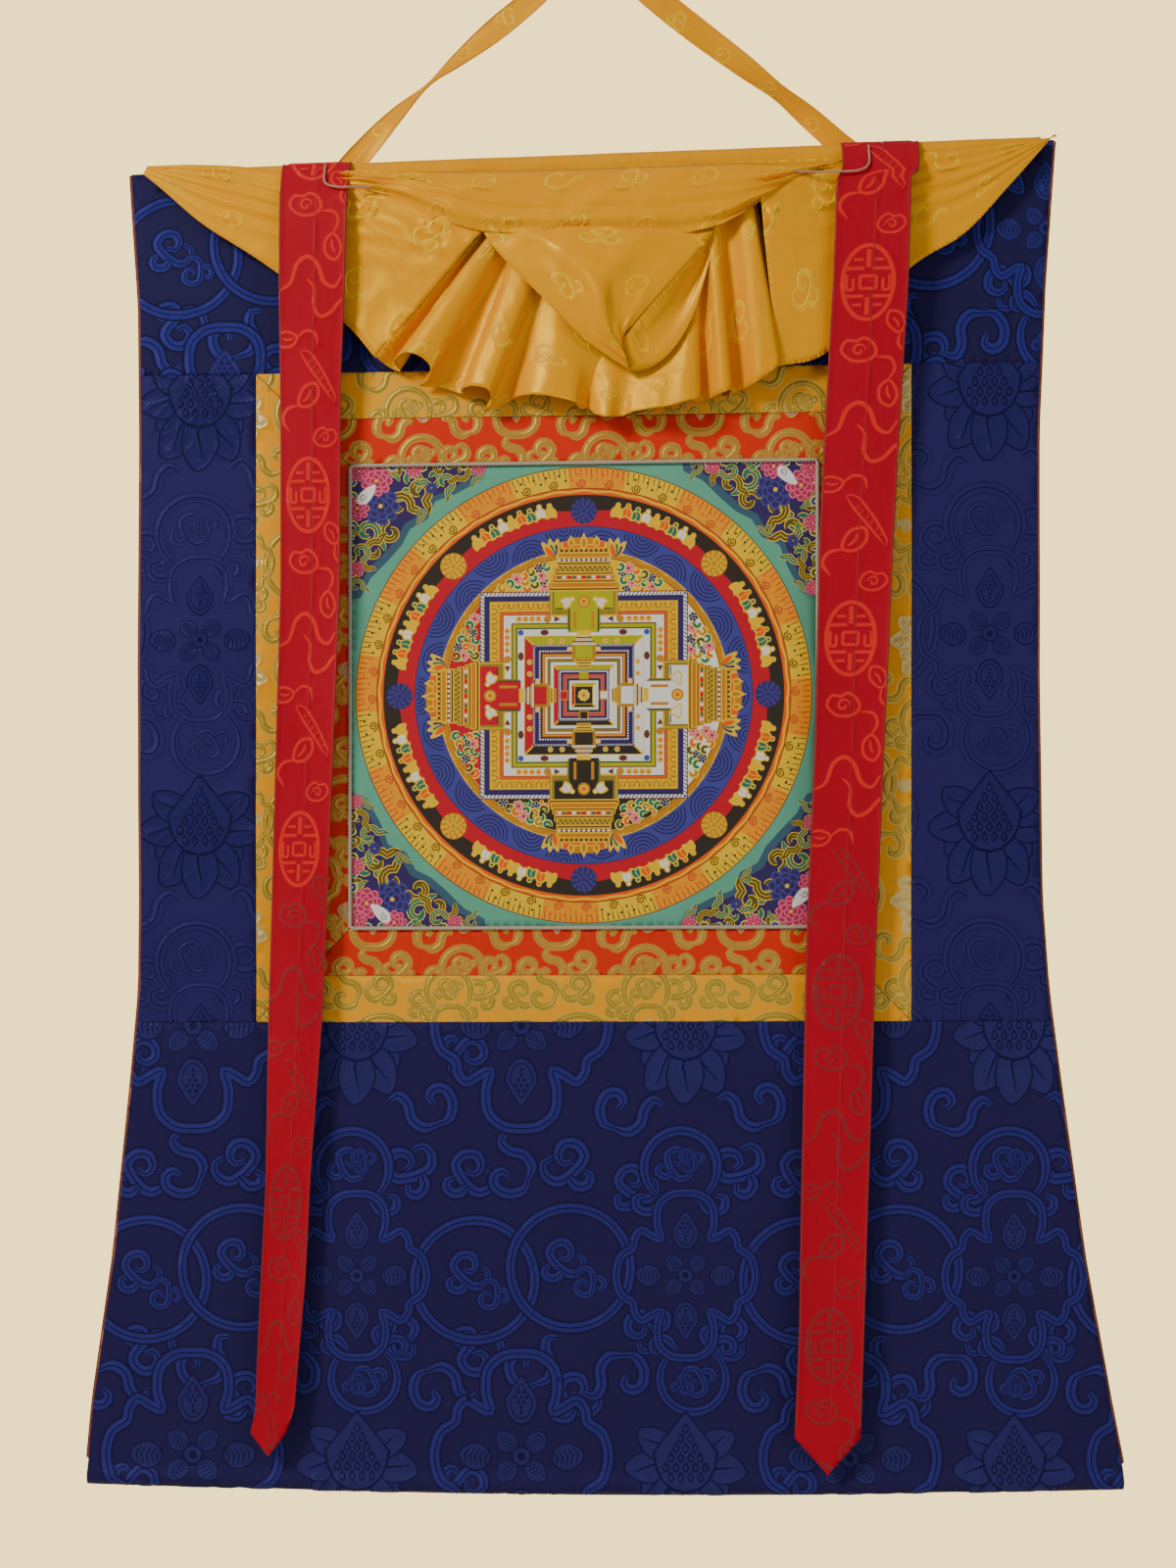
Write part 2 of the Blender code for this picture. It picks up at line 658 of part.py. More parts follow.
def ribbon(name, collection, edges, tip):
    """A pointed ribbon that loops over the heading and hangs clear of the cloth."""
    middle_x = sum(edges[0][1:]) / 2
    top = hung(middle_x, TOP_Z).z
    over = 1.2 * MM
    back = HEAD_FRONT + HEAD_DEPTH
    route = [
        (RIBBON_BACK, top - RIBBON_TAIL),
        (RIBBON_BACK, top - RIBBON_TAIL / 2),
        (RIBBON_BACK, top - 4.5 * MM),
        (back - 0.2 * MM, top + 0.4 * MM),
        (back - 4 * MM, top + over + 0.3 * MM),
        (HEAD_FRONT + 4.5 * MM, top + over),
        (HEAD_FRONT + 0.2 * MM, top - 0.4 * MM),
    ]
    last = min(row[0] for row in edges)
    for low, high in zip(RIBBON_FRONT, RIBBON_FRONT[1:]):
        steps = 1 if high[0] - low[0] < 50 * MM else 2
        for step in range(steps):
            below = mix(low[0], high[0], step / steps)
            route.append((mix(low[1], high[1], step / steps), top - 2.5 * MM - below))
    route.append((RIBBON_FRONT[-1][1], last))
    route = [point for number, point in enumerate(route) if point[1] >= last or number < 8]
    rows = len(route) - 1

    def place(u, v):
        number = round((1 - v) * rows)
        y, z = route[number]
        left, right = blend(edges, max(z, last))
        x = mix(left, right, u)
        (rise,) = blend(LEAN, z)
        drop = tip * (1 - abs(2 * u - 1)) if number == rows else 0.0
        return Vector((x, y, z - drop + rise * (x - middle_x)))

    sheet(name, "ribbon", collection, place, 2, rows, RIBBON)


def strap(collection):
    """A flat folded ribbon that turns over on each side of the nail."""
    rows = len(STRAP_PATH) - 1
    points = [Vector(row[:3]) for row in STRAP_PATH]

    def place(u, v):
        number = round(v * rows)
        width, turn = STRAP_PATH[number][3:]
        before = points[max(number - 1, 0)]
        after = points[min(number + 1, rows)]
        run = (after - before).normalized()
        flat = run.cross(Vector((0, 1, 0))).normalized()
        deep = flat.cross(run).normalized()
        angle = math.radians(turn)
        across = flat * math.cos(angle) + deep * math.sin(angle)
        return points[number] + across * (u - 0.5) * width

    sheet("hanging_strap", "yellow", collection, place, 2, rows, STRAP)


def build():
    for old in list(bpy.data.objects):
        bpy.data.objects.remove(old, do_unlink=True)
    collection = bpy.data.collections.new("thangka_scroll_painting")
    bpy.context.scene.collection.children.link(collection)
    painting(collection)
    painting_piping(collection)
    red_half_width = PAINTING_WIDTH / 2 + RED_BORDER
    red_half_height = PAINTING_HEIGHT / 2 + RED_BORDER
    border("red_border", "red", collection, red_half_width, red_half_height, RED_BORDER)
    border("gold_border", "gold", collection, GOLD_HALF_WIDTH, GOLD_HALF_HEIGHT, GOLD_BORDER)
    blue_panels(collection)
    blue_panel_bottom(collection)
    lining(collection)
    heading(collection)
    cover(collection)
    ribbon("ribbon_left", collection, RIBBON_LEFT, RIBBON_LEFT_TIP)
    ribbon("ribbon_right", collection, RIBBON_RIGHT, RIBBON_RIGHT_TIP)
    strap(collection)
    spacing = 2.5 * TIE_DIAMETER
    tube("tie_cord_left", "tie", collection, smooth_route(TIE_LEFT, spacing), TIE_DIAMETER)
    tube("tie_cord_right", "tie", collection, smooth_route(TIE_RIGHT, spacing), TIE_DIAMETER)


build()
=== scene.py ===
"""A thangka scroll painting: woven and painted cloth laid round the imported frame.

Every cloth is drawn flat in millimetres, cut along the drawing's own lines, and then laid on the
curved surface on which it hangs, so the woven figures and the painting are in the mesh itself."""

import math
import random

import bpy
import numpy as np
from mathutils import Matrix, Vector
from mathutils.geometry import delaunay_2d_cdt


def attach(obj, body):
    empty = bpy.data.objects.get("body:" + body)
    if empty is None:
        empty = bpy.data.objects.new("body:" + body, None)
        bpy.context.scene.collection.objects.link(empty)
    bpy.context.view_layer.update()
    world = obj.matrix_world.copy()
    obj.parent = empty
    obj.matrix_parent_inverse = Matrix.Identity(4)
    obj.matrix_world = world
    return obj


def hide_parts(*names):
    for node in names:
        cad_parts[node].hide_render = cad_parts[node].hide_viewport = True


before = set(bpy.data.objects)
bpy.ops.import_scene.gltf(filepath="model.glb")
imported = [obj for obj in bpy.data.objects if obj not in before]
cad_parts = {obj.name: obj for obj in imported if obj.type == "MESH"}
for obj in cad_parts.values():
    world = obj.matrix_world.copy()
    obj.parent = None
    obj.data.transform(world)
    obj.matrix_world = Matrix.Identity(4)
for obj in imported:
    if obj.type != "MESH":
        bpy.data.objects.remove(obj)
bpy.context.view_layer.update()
MM = 0.001


# ---------------------------------------------------------------- camera, light and floor

CAMERA_AT = (-0.0056, -1.8, -0.684)
VIEW_WIDTH = 0.96
FLOOR_Z = -1.66
FLOOR_Y = -0.45
FLOOR_SIDE = 2.6
LAMPS_AIM_AT = (0, 0, -0.55)


def set_stage():
    camera = bpy.data.cameras.new("camera")
    camera.sensor_fit = "HORIZONTAL"
    camera.angle = 2 * math.atan(VIEW_WIDTH / 2 / abs(CAMERA_AT[1]))
    viewer = bpy.data.objects.new("camera", camera)
    viewer.location = CAMERA_AT
    viewer.rotation_euler = (math.pi / 2, 0, 0)
    bpy.context.scene.collection.objects.link(viewer)
    bpy.context.scene.camera = viewer

    bpy.ops.mesh.primitive_plane_add(size=FLOOR_SIDE, location=(0, FLOOR_Y, FLOOR_Z))
    floor = bpy.context.object
    floor.name = "floor"
    pale = Finish("pale_floor", (0.72, 0.68, 0.62), roughness=0.8)
    mottle = pale.noise(scale=3.0, detail=4)
    pale.colour(pale.mix(mottle, (0.70, 0.66, 0.60), (0.75, 0.71, 0.65)))
    floor.data.materials.append(pale.material)

    world = bpy.data.worlds.new("studio")
    world.use_nodes = True
    nodes, links = world.node_tree.nodes, world.node_tree.links
    soft = nodes["Background"]
    soft.inputs["Color"].default_value = (1.0, 0.93, 0.82, 1)
    soft.inputs["Strength"].default_value = 0.34
    seen = nodes.new("ShaderNodeBackground")
    seen.inputs["Color"].default_value = (1.0, 0.74, 0.29, 1)
    seen.inputs["Strength"].default_value = 2.7
    path = nodes.new("ShaderNodeLightPath")
    either = nodes.new("ShaderNodeMixShader")
    links.new(path.outputs["Is Camera Ray"], either.inputs[0])
    links.new(soft.outputs[0], either.inputs[1])
    links.new(seen.outputs[0], either.inputs[2])
    links.new(either.outputs[0], nodes["World Output"].inputs["Surface"])
    bpy.context.scene.world = world
    lamp("key_light", (-1.9, -2.0, 0.9), 0.7, 66, (1.0, 0.93, 0.80))
    lamp("fill_light", (1.6, -2.0, -0.6), 1.6, 8, (0.92, 0.95, 1.0))
    lamp("back_light", (0.4, 1.9, 0.4), 1.6, 18, (1.0, 0.96, 0.9))


def lamp(name, at, size, watts, colour):
    light = bpy.data.lights.new(name, "AREA")
    light.size = size
    light.energy = watts
    light.color = colour
    holder = bpy.data.objects.new(name, light)
    holder.location = at
    aim = Vector(LAMPS_AIM_AT) - Vector(at)
    holder.rotation_euler = aim.to_track_quat("-Z", "Y").to_euler()
    bpy.context.scene.collection.objects.link(holder)


# ---------------------------------------------------------------- finishes


class Wire:
    """A socket whose sums add Math nodes."""

    def __init__(self, finish, socket):
        self.finish = finish
        self.socket = socket

    def _sum(self, operation, first, second=None):
        values = {0: first} if second is None else {0: first, 1: second}
        return self.finish.add("ShaderNodeMath", {"operation": operation}, values)

    def __add__(self, other):
        return self._sum("ADD", self, other)

    def __radd__(self, other):
        return self._sum("ADD", other, self)

    def __sub__(self, other):
        return self._sum("SUBTRACT", self, other)

    def __rsub__(self, other):
        return self._sum("SUBTRACT", other, self)

    def __mul__(self, other):
        return self._sum("MULTIPLY", self, other)

    def __rmul__(self, other):
        return self._sum("MULTIPLY", other, self)


class Finish:
    """One material: a Principled shader and the nodes that feed it."""

    def __init__(self, name, base, roughness=0.6, **fixed):
        self.material = bpy.data.materials.new(name)
        self.material.use_nodes = True
        self.tree = self.material.node_tree
        self.shader = self.tree.nodes["Principled BSDF"]
        self.shader.inputs["Base Color"].default_value = (*base, 1)
        self.shader.inputs["Roughness"].default_value = roughness
        for key, value in fixed.items():
            socket = self.shader.inputs[key.replace("_", " ").title().replace("Ior", "IOR")]
            socket.default_value = (*value, 1) if isinstance(value, tuple) else value

    def add(self, kind, settings=None, values=None, out=0):
        """Any node: its settings first, then the values or links of its sockets."""
        node = self.tree.nodes.new(kind)
        for key, value in (settings or {}).items():
            setattr(node, key, value)
        for key, value in (values or {}).items():
            socket = node.inputs[key]
            if isinstance(value, Wire):
                self.tree.links.new(value.socket, socket)
            elif isinstance(value, tuple) and socket.type == "RGBA":
                socket.default_value = (*value, 1)
            else:
                socket.default_value = value
        return Wire(self, node.outputs[out])

    def where(self):
        """The flat cloth's own coordinates, in metres."""
        kind = {"attribute_type": "GEOMETRY", "attribute_name": "cloth"}
        return self.add("ShaderNodeAttribute", kind, out="Vector")

    def scaled(self, factors):
        return self.add(
            "ShaderNodeVectorMath", {"operation": "MULTIPLY"}, {0: self.where(), 1: factors}
        )

    def noise(self, scale, detail=2.0, stretch=(1, 1, 1)):
        values = {"Vector": self.scaled(stretch), "Scale": scale, "Detail": detail}
        return self.add("ShaderNodeTexNoise", None, values)

    def ribs(self, per_metre, direction="X", stretch=(1, 1, 1)):
        values = {"Vector": self.scaled(stretch), "Scale": per_metre / 3.1831, "Distortion": 0.0}
        kind = {"wave_type": "BANDS", "bands_direction": direction, "wave_profile": "SIN"}
        return self.add("ShaderNodeTexWave", kind, values)

    def mix(self, factor, first, second):
        values = {"Factor": factor, "A": first, "B": second}
        node = self.tree.nodes.new("ShaderNodeMix")
        node.data_type = "RGBA"
        sockets = {"Factor": node.inputs[0], "A": node.inputs[6], "B": node.inputs[7]}
        for key, value in values.items():
            if isinstance(value, Wire):
                self.tree.links.new(value.socket, sockets[key])
            else:
                sockets[key].default_value = (*value, 1) if isinstance(value, tuple) else value
        return Wire(self, node.outputs[2])

    def feed(self, name, wire):
        self.tree.links.new(wire.socket, self.shader.inputs[name])

    def colour(self, wire):
        self.feed("Base Color", wire)

    def bump(self, height, depth, strength=1.0):
        values = {"Height": height, "Distance": depth, "Strength": strength}
        self.feed("Normal", self.add("ShaderNodeBump", None, values))


def shade(colour, factor):
    return tuple(min(channel * factor, 1.0) for channel in colour)


def woven(name, colour, roughness, ribs=900, direction="DIAGONAL", depth=0.00012, vary=0.18, **fixed):
    """Cloth with fine ribs, a soft mottle of the threads and slight wear."""
    cloth = Finish(name, colour, roughness, **fixed)
    threads = cloth.ribs(ribs, direction)
    slub = cloth.noise(240, 3, (1, 0.25, 1))
    broad = cloth.noise(14, 3)
    tone = cloth.mix(broad, shade(colour, 1 - vary), shade(colour, 1 + vary))
    fine = cloth.mix(slub, shade(colour, 1 - vary), shade(colour, 1 + vary * 0.7))
    cloth.colour(cloth.mix(0.5, tone, fine))
    cloth.feed("Roughness", roughness - 0.06 + broad * 0.12)
    cloth.bump(threads * 0.7 + slub * 0.6, depth)
    return cloth.material


def twisted(name, colour, turns):
    """A laid cord: slanted plies, painted lighter on their crests and darker in the grooves, as painted light
    and shade.
    """
    cord = Finish(name, colour, 0.7)
    object_space = cord.add("ShaderNodeTexCoord", out="Object")
    kind = {"wave_type": "BANDS", "bands_direction": "DIAGONAL"}
    bands = {"Vector": object_space, "Scale": turns / 3.14, "Distortion": 1.0}
    plies = cord.add("ShaderNodeTexWave", kind, bands)
    fluff = cord.add("ShaderNodeTexNoise", None, {"Vector": object_space, "Scale": 900.0})
    # Painted shade in the grooves and painted light on the plies' crests, from the same bands as the bump.
    tone = cord.mix(plies, shade(colour, 0.6), shade(colour, 1.15))
    cord.colour(cord.mix(fluff * 0.4, tone, shade(colour, 0.8)))
    cord.bump(plies + fluff * 0.4, 0.0004)
    return cord.material


# ---------------------------------------------------------------- the hung cloth, as the CAD has it, in mm

TOP_Z = -171.6
CENTRE_X = -9.0
CENTRE_Z = -611.5
PAINTING_WIDTH = 383.0
PAINTING_HEIGHT = 381.0
RED_BORDER = 37.8
GOLD_BORDER = 38.2
SEAM_GAP = 0.3
BROCADE = 2.0
GOLD_HALF_WIDTH = PAINTING_WIDTH / 2 + RED_BORDER + GOLD_BORDER
GOLD_HALF_HEIGHT = PAINTING_HEIGHT / 2 + RED_BORDER + GOLD_BORDER
UPPER_SEAM = CENTRE_Z + GOLD_HALF_HEIGHT
LOWER_SEAM = CENTRE_Z - GOLD_HALF_HEIGHT
ROLL_Z = -1250.0
ROLL_RADIUS = 8.0
ROLL_DEPTH = 3.0
ROLL_SAG = 7.0
ROLL_NECK = 2.0
HEAD_HEIGHT = 24.0
HEAD_DEPTH = 15.0
HEAD_FRONT = -12.0
HEAD_LEFT = -361.0
HEAD_RIGHT = 366.0
HEAD_END_HEIGHT = 5.0
HEAD_TAPER = 0.9
HEAD_CLEAR = 1.2  # less than the CAD leaves, so that no light shows under the heading
CORNER_DROP = 1.0

LEAN = np.array([
    # height, rise to the right for each unit across
    (-1250.0, -0.006),
    (-878.0, 0.002),
    (-611.0, 0.007),
    (-343.0, 0.016),
    (-171.6, 0.038),
])
SIDES = np.array([
    # height, left edge, right edge
    (-1256, -415, 434),
    (-1190, -409, 421),
    (-1070, -392, 399),
    (-920, -377, 378),
    (-850, -371, 369),
    (-780, -370, 364),
    (-600, -371, 361),
    (-400, -370, 361),
    (-284, -371, 366),
    (-190, -377, 373),
    (-150, -379, 376),
])
SWELLS = (
    # x, z, slope of its line in degrees, half length, half width, height
    (-300, -560, 12, 90, 48, 2.0),
    (-325, -700, -15, 80, 46, 2.2),
    (-310, -860, 8, 110, 50, -1.8),
    (310, -520, -18, 90, 52, 1.8),
    (320, -760, 14, 100, 50, -1.8),
    (-180, -1080, 78, 190, 60, 2.6),
    (60, -1040, 90, 170, 70, -1.8),
    (260, -1100, 100, 170, 55, 2.4),
    (-10, -620, 90, 240, 120, 1.6),
)
CALM_TOP = 70.0
CALM_BOTTOM = 60.0


def ease(share):
    share = np.clip(share, 0, 1)
    return share * share * (3 - 2 * share)


def rise_at(z):
    return np.interp(z, LEAN[:, 0], LEAN[:, 1])


def side_edge(z, right):
    return np.interp(z, SIDES[:, 0], SIDES[:, 2 if right else 1])


def swell(x, z):
    depth = 0.0
    for at_x, at_z, slope, half_length, half_width, height in SWELLS:
        angle = math.radians(slope)
        dx, dz = x - at_x, z - at_z
        along = dx * math.cos(angle) + dz * math.sin(angle)
        across = dz * math.cos(angle) - dx * math.sin(angle)
        depth = depth - height * np.exp(-((along / half_length) ** 2) - (across / half_width) ** 2)
    calm = ease((TOP_Z - HEAD_HEIGHT - z) / CALM_TOP) * ease((z - ROLL_Z) / CALM_BOTTOM)
    return depth * calm


def hung(x, z, behind=0.0):
    """Points of the flat cloth where they hang."""
    x, z = np.asarray(x, float), np.asarray(z, float)
    return np.stack([x, swell(x, z) + behind + 0 * x, z + rise_at(z) * x], axis=-1)


def front_of(x, z):
    """The face of the sewn cloth: its middle, and half a thickness towards the front."""
    return hung(x, z, -BROCADE / 2)


def head_height(x):
    from_end = np.minimum(x - HEAD_LEFT, HEAD_RIGHT - x)
    return np.minimum(HEAD_HEIGHT, HEAD_END_HEIGHT + HEAD_TAPER * np.maximum(from_end, 0.0))


def cloth_top(x):
    under = TOP_Z - HEAD_CLEAR - head_height(x)
    return np.where((x > HEAD_LEFT) & (x < HEAD_RIGHT), under, TOP_Z - CORNER_DROP)


# ---------------------------------------------------------------- drawing flat, then laying


def spline(points, spacing=0.1, closed=False):
    """A smooth line through the points, with a point about every spacing."""
    points = np.asarray(points, float)
    if closed:
        ring = np.vstack([points[-1:], points, points[:2]])
    else:
        ring = np.vstack([2 * points[0] - points[1], points, 2 * points[-1] - points[-2]])
    out = []
    for before, start, end, after in zip(ring, ring[1:], ring[2:], ring[3:]):
        steps = max(1, round(float(np.linalg.norm(end - start)) / spacing))
        t = np.arange(steps)[:, None] / steps
        out.append(
            0.5 * (
                2 * start + (end - before) * t
                + (2 * before - 5 * start + 4 * end - after) * t ** 2
                + (3 * start - before - 3 * end + after) * t ** 3
            )
        )
    if not closed:
        out.append(points[-1:])
    return np.vstack(out)


def arc(x, z, radius, first, last, steps=16, squash=1.0):
    """Points of an arc, in degrees, with the last one."""
    turn = np.radians(np.linspace(first, last, steps + 1))
    return np.stack([x + radius * np.cos(turn), z + radius * squash * np.sin(turn)], axis=-1)


def ring_of(x, z, radius, steps=24, squash=1.0):
    return arc(x, z, radius, 0, 360, steps, squash)[:-1]


def curl_of(x, z, outer, inner, first, last, steps=22):
    """Points of a spiral."""
    turn = np.radians(np.linspace(first, last, steps + 1))
    radius = np.linspace(outer, inner, steps + 1)
    return np.stack([x + radius * np.cos(turn), z + radius * np.sin(turn)], axis=-1)


class Drawing:
    """Coloured patches and strokes, in mm, each lying over the ones drawn before it."""

    def __init__(self, ground, weight=1.0):
        self.ground = ground
        self.faces = []
        self.weight = weight
        self.place = (0.0, 0.0, 1.0, 0.0, 1)

    def stamp(self, motif, x, z, size=1.0, turn=0.0, flip=1, **how):
        """A motif drawn about its own origin: turned, sized, and mirrored if flip is -1."""
        kept = self.place
        (at,) = self._move([(x, z)])
        scale = kept[2] * size
        self.place = (at[0], at[1], scale, kept[3] + kept[4] * turn, kept[4] * flip)
        motif(self, **how)
        self.place = kept

    def _move(self, points):
        x, z, size, turn, flip = self.place
        points = np.asarray(points, float) * (size * flip, size)
        angle = math.radians(turn)
        cos, sin = math.cos(angle), math.sin(angle)
        return points @ np.array([(cos, sin), (-sin, cos)]) + (x, z)

    def patch(self, ink, points, height=0.0):
        moved = self._move(points)
        x, z = moved.T
        if np.dot(x, np.roll(z, -1)) < np.dot(z, np.roll(x, -1)):
            moved = moved[::-1]
        self.faces.append((moved[None], np.full((1, len(moved)), height), ink))

    def stroke(self, ink, points, width, tips=(0.35, 0.35), raised=0.22, closed=False):
        """A line of thread or paint, thinner at its tips and proud along its middle."""
        path = self._move(points)
        if closed:
            path = np.vstack([path, path[:1]])
        run = np.gradient(path, axis=0)
        if closed:
            run[0] = run[-1] = path[1] - path[-2]
        run /= np.maximum(np.linalg.norm(run, axis=1), 1e-9)[:, None]
        side = np.stack([-run[:, 1], run[:, 0]], axis=-1)
        share = np.linspace(0, 1, len(path))
        shape = np.interp(share, (0, 0.22, 0.78, 1), (1, 1, 1, 1) if closed else (tips[0], 1, 1, tips[1]))
        half = (width * self.weight * self.place[2] / 2 * shape)[:, None]
        left, right = path + side * half, path - side * half
        if raised:
            low, peak = np.zeros(len(path)), np.full(len(path), raised)
            self._strip(ink, (left, low), (path, peak))
            self._strip(ink, (path, peak), (right, low))
        else:
            self._strip(ink, (left, np.zeros(len(path))), (right, np.zeros(len(path))))

    def _strip(self, ink, left, right):
        """Quads between two rails, or triangles wherever a sharp bend folds a quad over."""
        corners = np.stack([right[0][:-1], right[0][1:], left[0][1:], left[0][:-1]], axis=1)
        heights = np.stack([right[1][:-1], right[1][1:], left[1][1:], left[1][:-1]], axis=1)
        sides = np.roll(corners, -1, axis=1) - corners
        after = np.roll(sides, -1, axis=1)
        turns = sides[..., 0] * after[..., 1] - sides[..., 1] * after[..., 0]
        good = (turns > 2e-3).all(axis=1)
        if good.any():
            self.faces.append((corners[good], heights[good], ink))
        if good.all():
            return
        for pick in ([0, 1, 2], [0, 2, 3]):
            part, rise = corners[~good][:, pick], heights[~good][:, pick]
            first, second = part[:, 1] - part[:, 0], part[:, 2] - part[:, 0]
            area = first[:, 0] * second[:, 1] - first[:, 1] * second[:, 0]
            part[area < 0] = part[area < 0][:, ::-1]
            rise[area < 0] = rise[area < 0][:, ::-1]
            real = np.abs(area) > 4e-3
            if real.any():
                self.faces.append((part[real], rise[real], ink))


INKS = {}


def lay(name, outline, drawing, place, step=9.0, thickness=BROCADE):
    """Cuts the cloth along every line of its drawing and lays it on the surface place(x, z)."""
    outline = np.asarray(outline, float)
    if outline[:, 0] @ np.roll(outline[:, 1], -1) < outline[:, 1] @ np.roll(outline[:, 0], -1):
        outline = outline[::-1]
    corners = [outline]
    heights = [np.zeros(len(outline))]
    faces = [list(range(len(outline)))]
    inks = [drawing.ground]
    count = len(outline)
    low, high = corners[0].min(axis=0), corners[0].max(axis=0)
    for points, rise, ink in drawing.faces:
        inside = ((points.max(axis=1) > low) & (points.min(axis=1) < high)).all(axis=1)
        points, rise = points[inside], rise[inside]
        if not len(points):
            continue
        number, sides = points.shape[:2]
        corners.append(points.reshape(-1, 2))
        heights.append(rise.ravel())
        faces.extend((count + np.arange(number * sides).reshape(number, sides)).tolist())
        inks.extend([ink] * number)
        count += number * sides
    sizes = np.maximum(np.round((high - low) / step).astype(int), 1)
    lattice = np.stack(np.meshgrid(
        np.linspace(low[0], high[0], sizes[0] + 1) + 0.013,
        np.linspace(low[1], high[1], sizes[1] + 1) + 0.017,
    ), axis=-1).reshape(-1, 2)
    corners.append(lattice)
    heights.append(np.zeros(len(lattice)))
    corners = np.vstack(corners)
    heights = np.concatenate(heights)
    cut = delaunay_2d_cdt([Vector(point) for point in corners.tolist()], [], faces, 0, 1e-4)
    points, _, triangles, kept_from, _, covered = cut
    flat = np.array([tuple(point) for point in points])
    proud = np.array([max((heights[i] for i in ids), default=0.0) for ids in kept_from])
    starts = np.cumsum([0] + [len(face) for face in faces[:-1]])
    low_of = np.minimum.reduceat(corners[np.concatenate(faces)], starts) - 0.01
    high_of = np.maximum.reduceat(corners[np.concatenate(faces)], starts) + 0.01
    (left, foot), (right, head) = low_of.T.tolist(), high_of.T.tolist()
    middles = flat[np.array(triangles)].mean(axis=1).tolist()
    wanted = []
    for tri, over, middle in zip(triangles, covered, middles):
        if 0 in over:
            x, z = middle
            near = (face for face in over if left[face] <= x <= right[face] and foot[face] <= z <= head[face])
            wanted.append((tri, max(near)))
    corners_of = np.array([tri for tri, _ in wanted])
    slots = [inks[top] for _, top in wanted]
    used = np.unique(corners_of)
    renumber = np.full(len(flat), -1)
    renumber[used] = np.arange(len(used))
    corners_of = renumber[corners_of]
    flat, proud = flat[used], proud[used]
    return shell(name, flat, proud, corners_of, slots, place, thickness)


def shell(name, flat, proud, triangles, slots, place, thickness):
    """The laid triangles, with the cloth's cut edge turned back all round them."""
    at = place(flat[:, 0], flat[:, 1])
    nudge = 0.4
    run_x = place(flat[:, 0] + nudge, flat[:, 1]) - place(flat[:, 0] - nudge, flat[:, 1])
    run_z = place(flat[:, 0], flat[:, 1] + nudge) - place(flat[:, 0], flat[:, 1] - nudge)
    out = np.cross(run_x, run_z)
    out /= np.maximum(np.linalg.norm(out, axis=1), 1e-12)[:, None]
    at = at + out * proud[:, None]
    edges = np.vstack([triangles[:, [0, 1]], triangles[:, [1, 2]], triangles[:, [2, 0]]])
    owner = np.tile(np.arange(len(triangles)), 3)
    key = np.sort(edges, axis=1) @ np.array([len(flat), 1])
    _, first, times = np.unique(key, return_index=True, return_counts=True)
    rim = edges[first[times == 1]]
    rim_owner = owner[first[times == 1]]
    ids = np.unique(rim)
    below = np.full(len(flat), -1)
    below[ids] = len(flat) + np.arange(len(ids))
    points = np.vstack([at, at[ids] - out[ids] * thickness])
    cloth = np.vstack([flat, flat[ids]])
    quads = np.stack([rim[:, 1], rim[:, 0], below[rim[:, 0]], below[rim[:, 1]]], axis=-1)
    mesh = bpy.data.meshes.new(name)
    mesh.from_pydata((points * MM).tolist(), [], triangles.tolist() + quads.tolist())
    names = sorted(set(slots))
    index = {ink: number for number, ink in enumerate(names)}
    for ink in names:
        mesh.materials.append(INKS[ink])
    chosen = [index[ink] for ink in slots] + [index[slots[i]] for i in rim_owner]
    mesh.polygons.foreach_set("material_index", chosen)
    mesh.polygons.foreach_set("use_smooth", [True] * len(chosen))
    drawn = mesh.attributes.new("cloth", "FLOAT_VECTOR", "POINT")
    drawn.data.foreach_set("vector", np.column_stack([cloth * MM, 0 * cloth[:, 0]]).ravel())
    mesh.update()
    piece = bpy.data.objects.new(name, mesh)
    bpy.context.scene.collection.objects.link(piece)
    return piece


def stepped(corners, step=9.0):
    """The same outline with a point about every step along it."""
    out = []
    for start, end in zip(corners, [*corners[1:], corners[0]]):
        start, end = np.array(start, float), np.array(end, float)
        steps = max(1, round(float(np.linalg.norm(end - start)) / step))
        out.extend(start + (end - start) * i / steps for i in range(steps))
    return np.array(out)


def declare(piece, nodes, flat, area=None):
    """Attaches the piece to the root body and hides the CAD nodes it stands for. The size it was cut to, in
    mm, and its area are turned into metres but not used.
    """
    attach(piece, "root")
    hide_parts(*nodes)
    size = (flat[0] * MM, flat[1] * MM)
    area and area * MM * MM


# ---------------------------------------------------------------- motifs of the blue brocade


def mirrored(quarter):
    """A closed outline from one quarter of it, given from the bottom tip to the left side."""
    quarter = np.array(quarter, float)
    upper = quarter[-2::-1] * (1, -1)
    left = np.vstack([quarter, upper])
    return np.vstack([left, left[-2:0:-1] * (-1, 1)])


COLLAR = mirrored((
    (0, -84), (-15, -82), (-27, -71), (-29, -52), (-25, -37), (-34, -40), (-45, -46),
    (-52, -38), (-54, -28), (-66, -19), (-71, 0),
))


def band(drawing, points, tone, width=5.6, tips=(0.5, 0.5), closed=False):
    """A broad woven line with a fine one down its middle."""
    drawing.stroke(f"{tone}_shade", points, width + 2.6, tips=tips, raised=0.0, closed=closed)
    drawing.stroke(f"{tone}_figure", points, width, tips=tips, raised=0.4, closed=closed)
    drawing.stroke(f"{tone}_line", points, 0.8, tips=(1, 1), raised=0.12, closed=closed)


def c_cloud(drawing, tone):
    """A cloud like an open ring with one end curled in."""
    band(drawing, spline([(4, -12), (11, -9), (14, 2), (9, 12), (1, 13), (-3, 7), (1, 2)], 3.4), tone)
    band(drawing, spline([(4, -12), (-6, -15), (-15, -9), (-18, 2), (-25, 8), (-31, 4)], 3.6), tone)


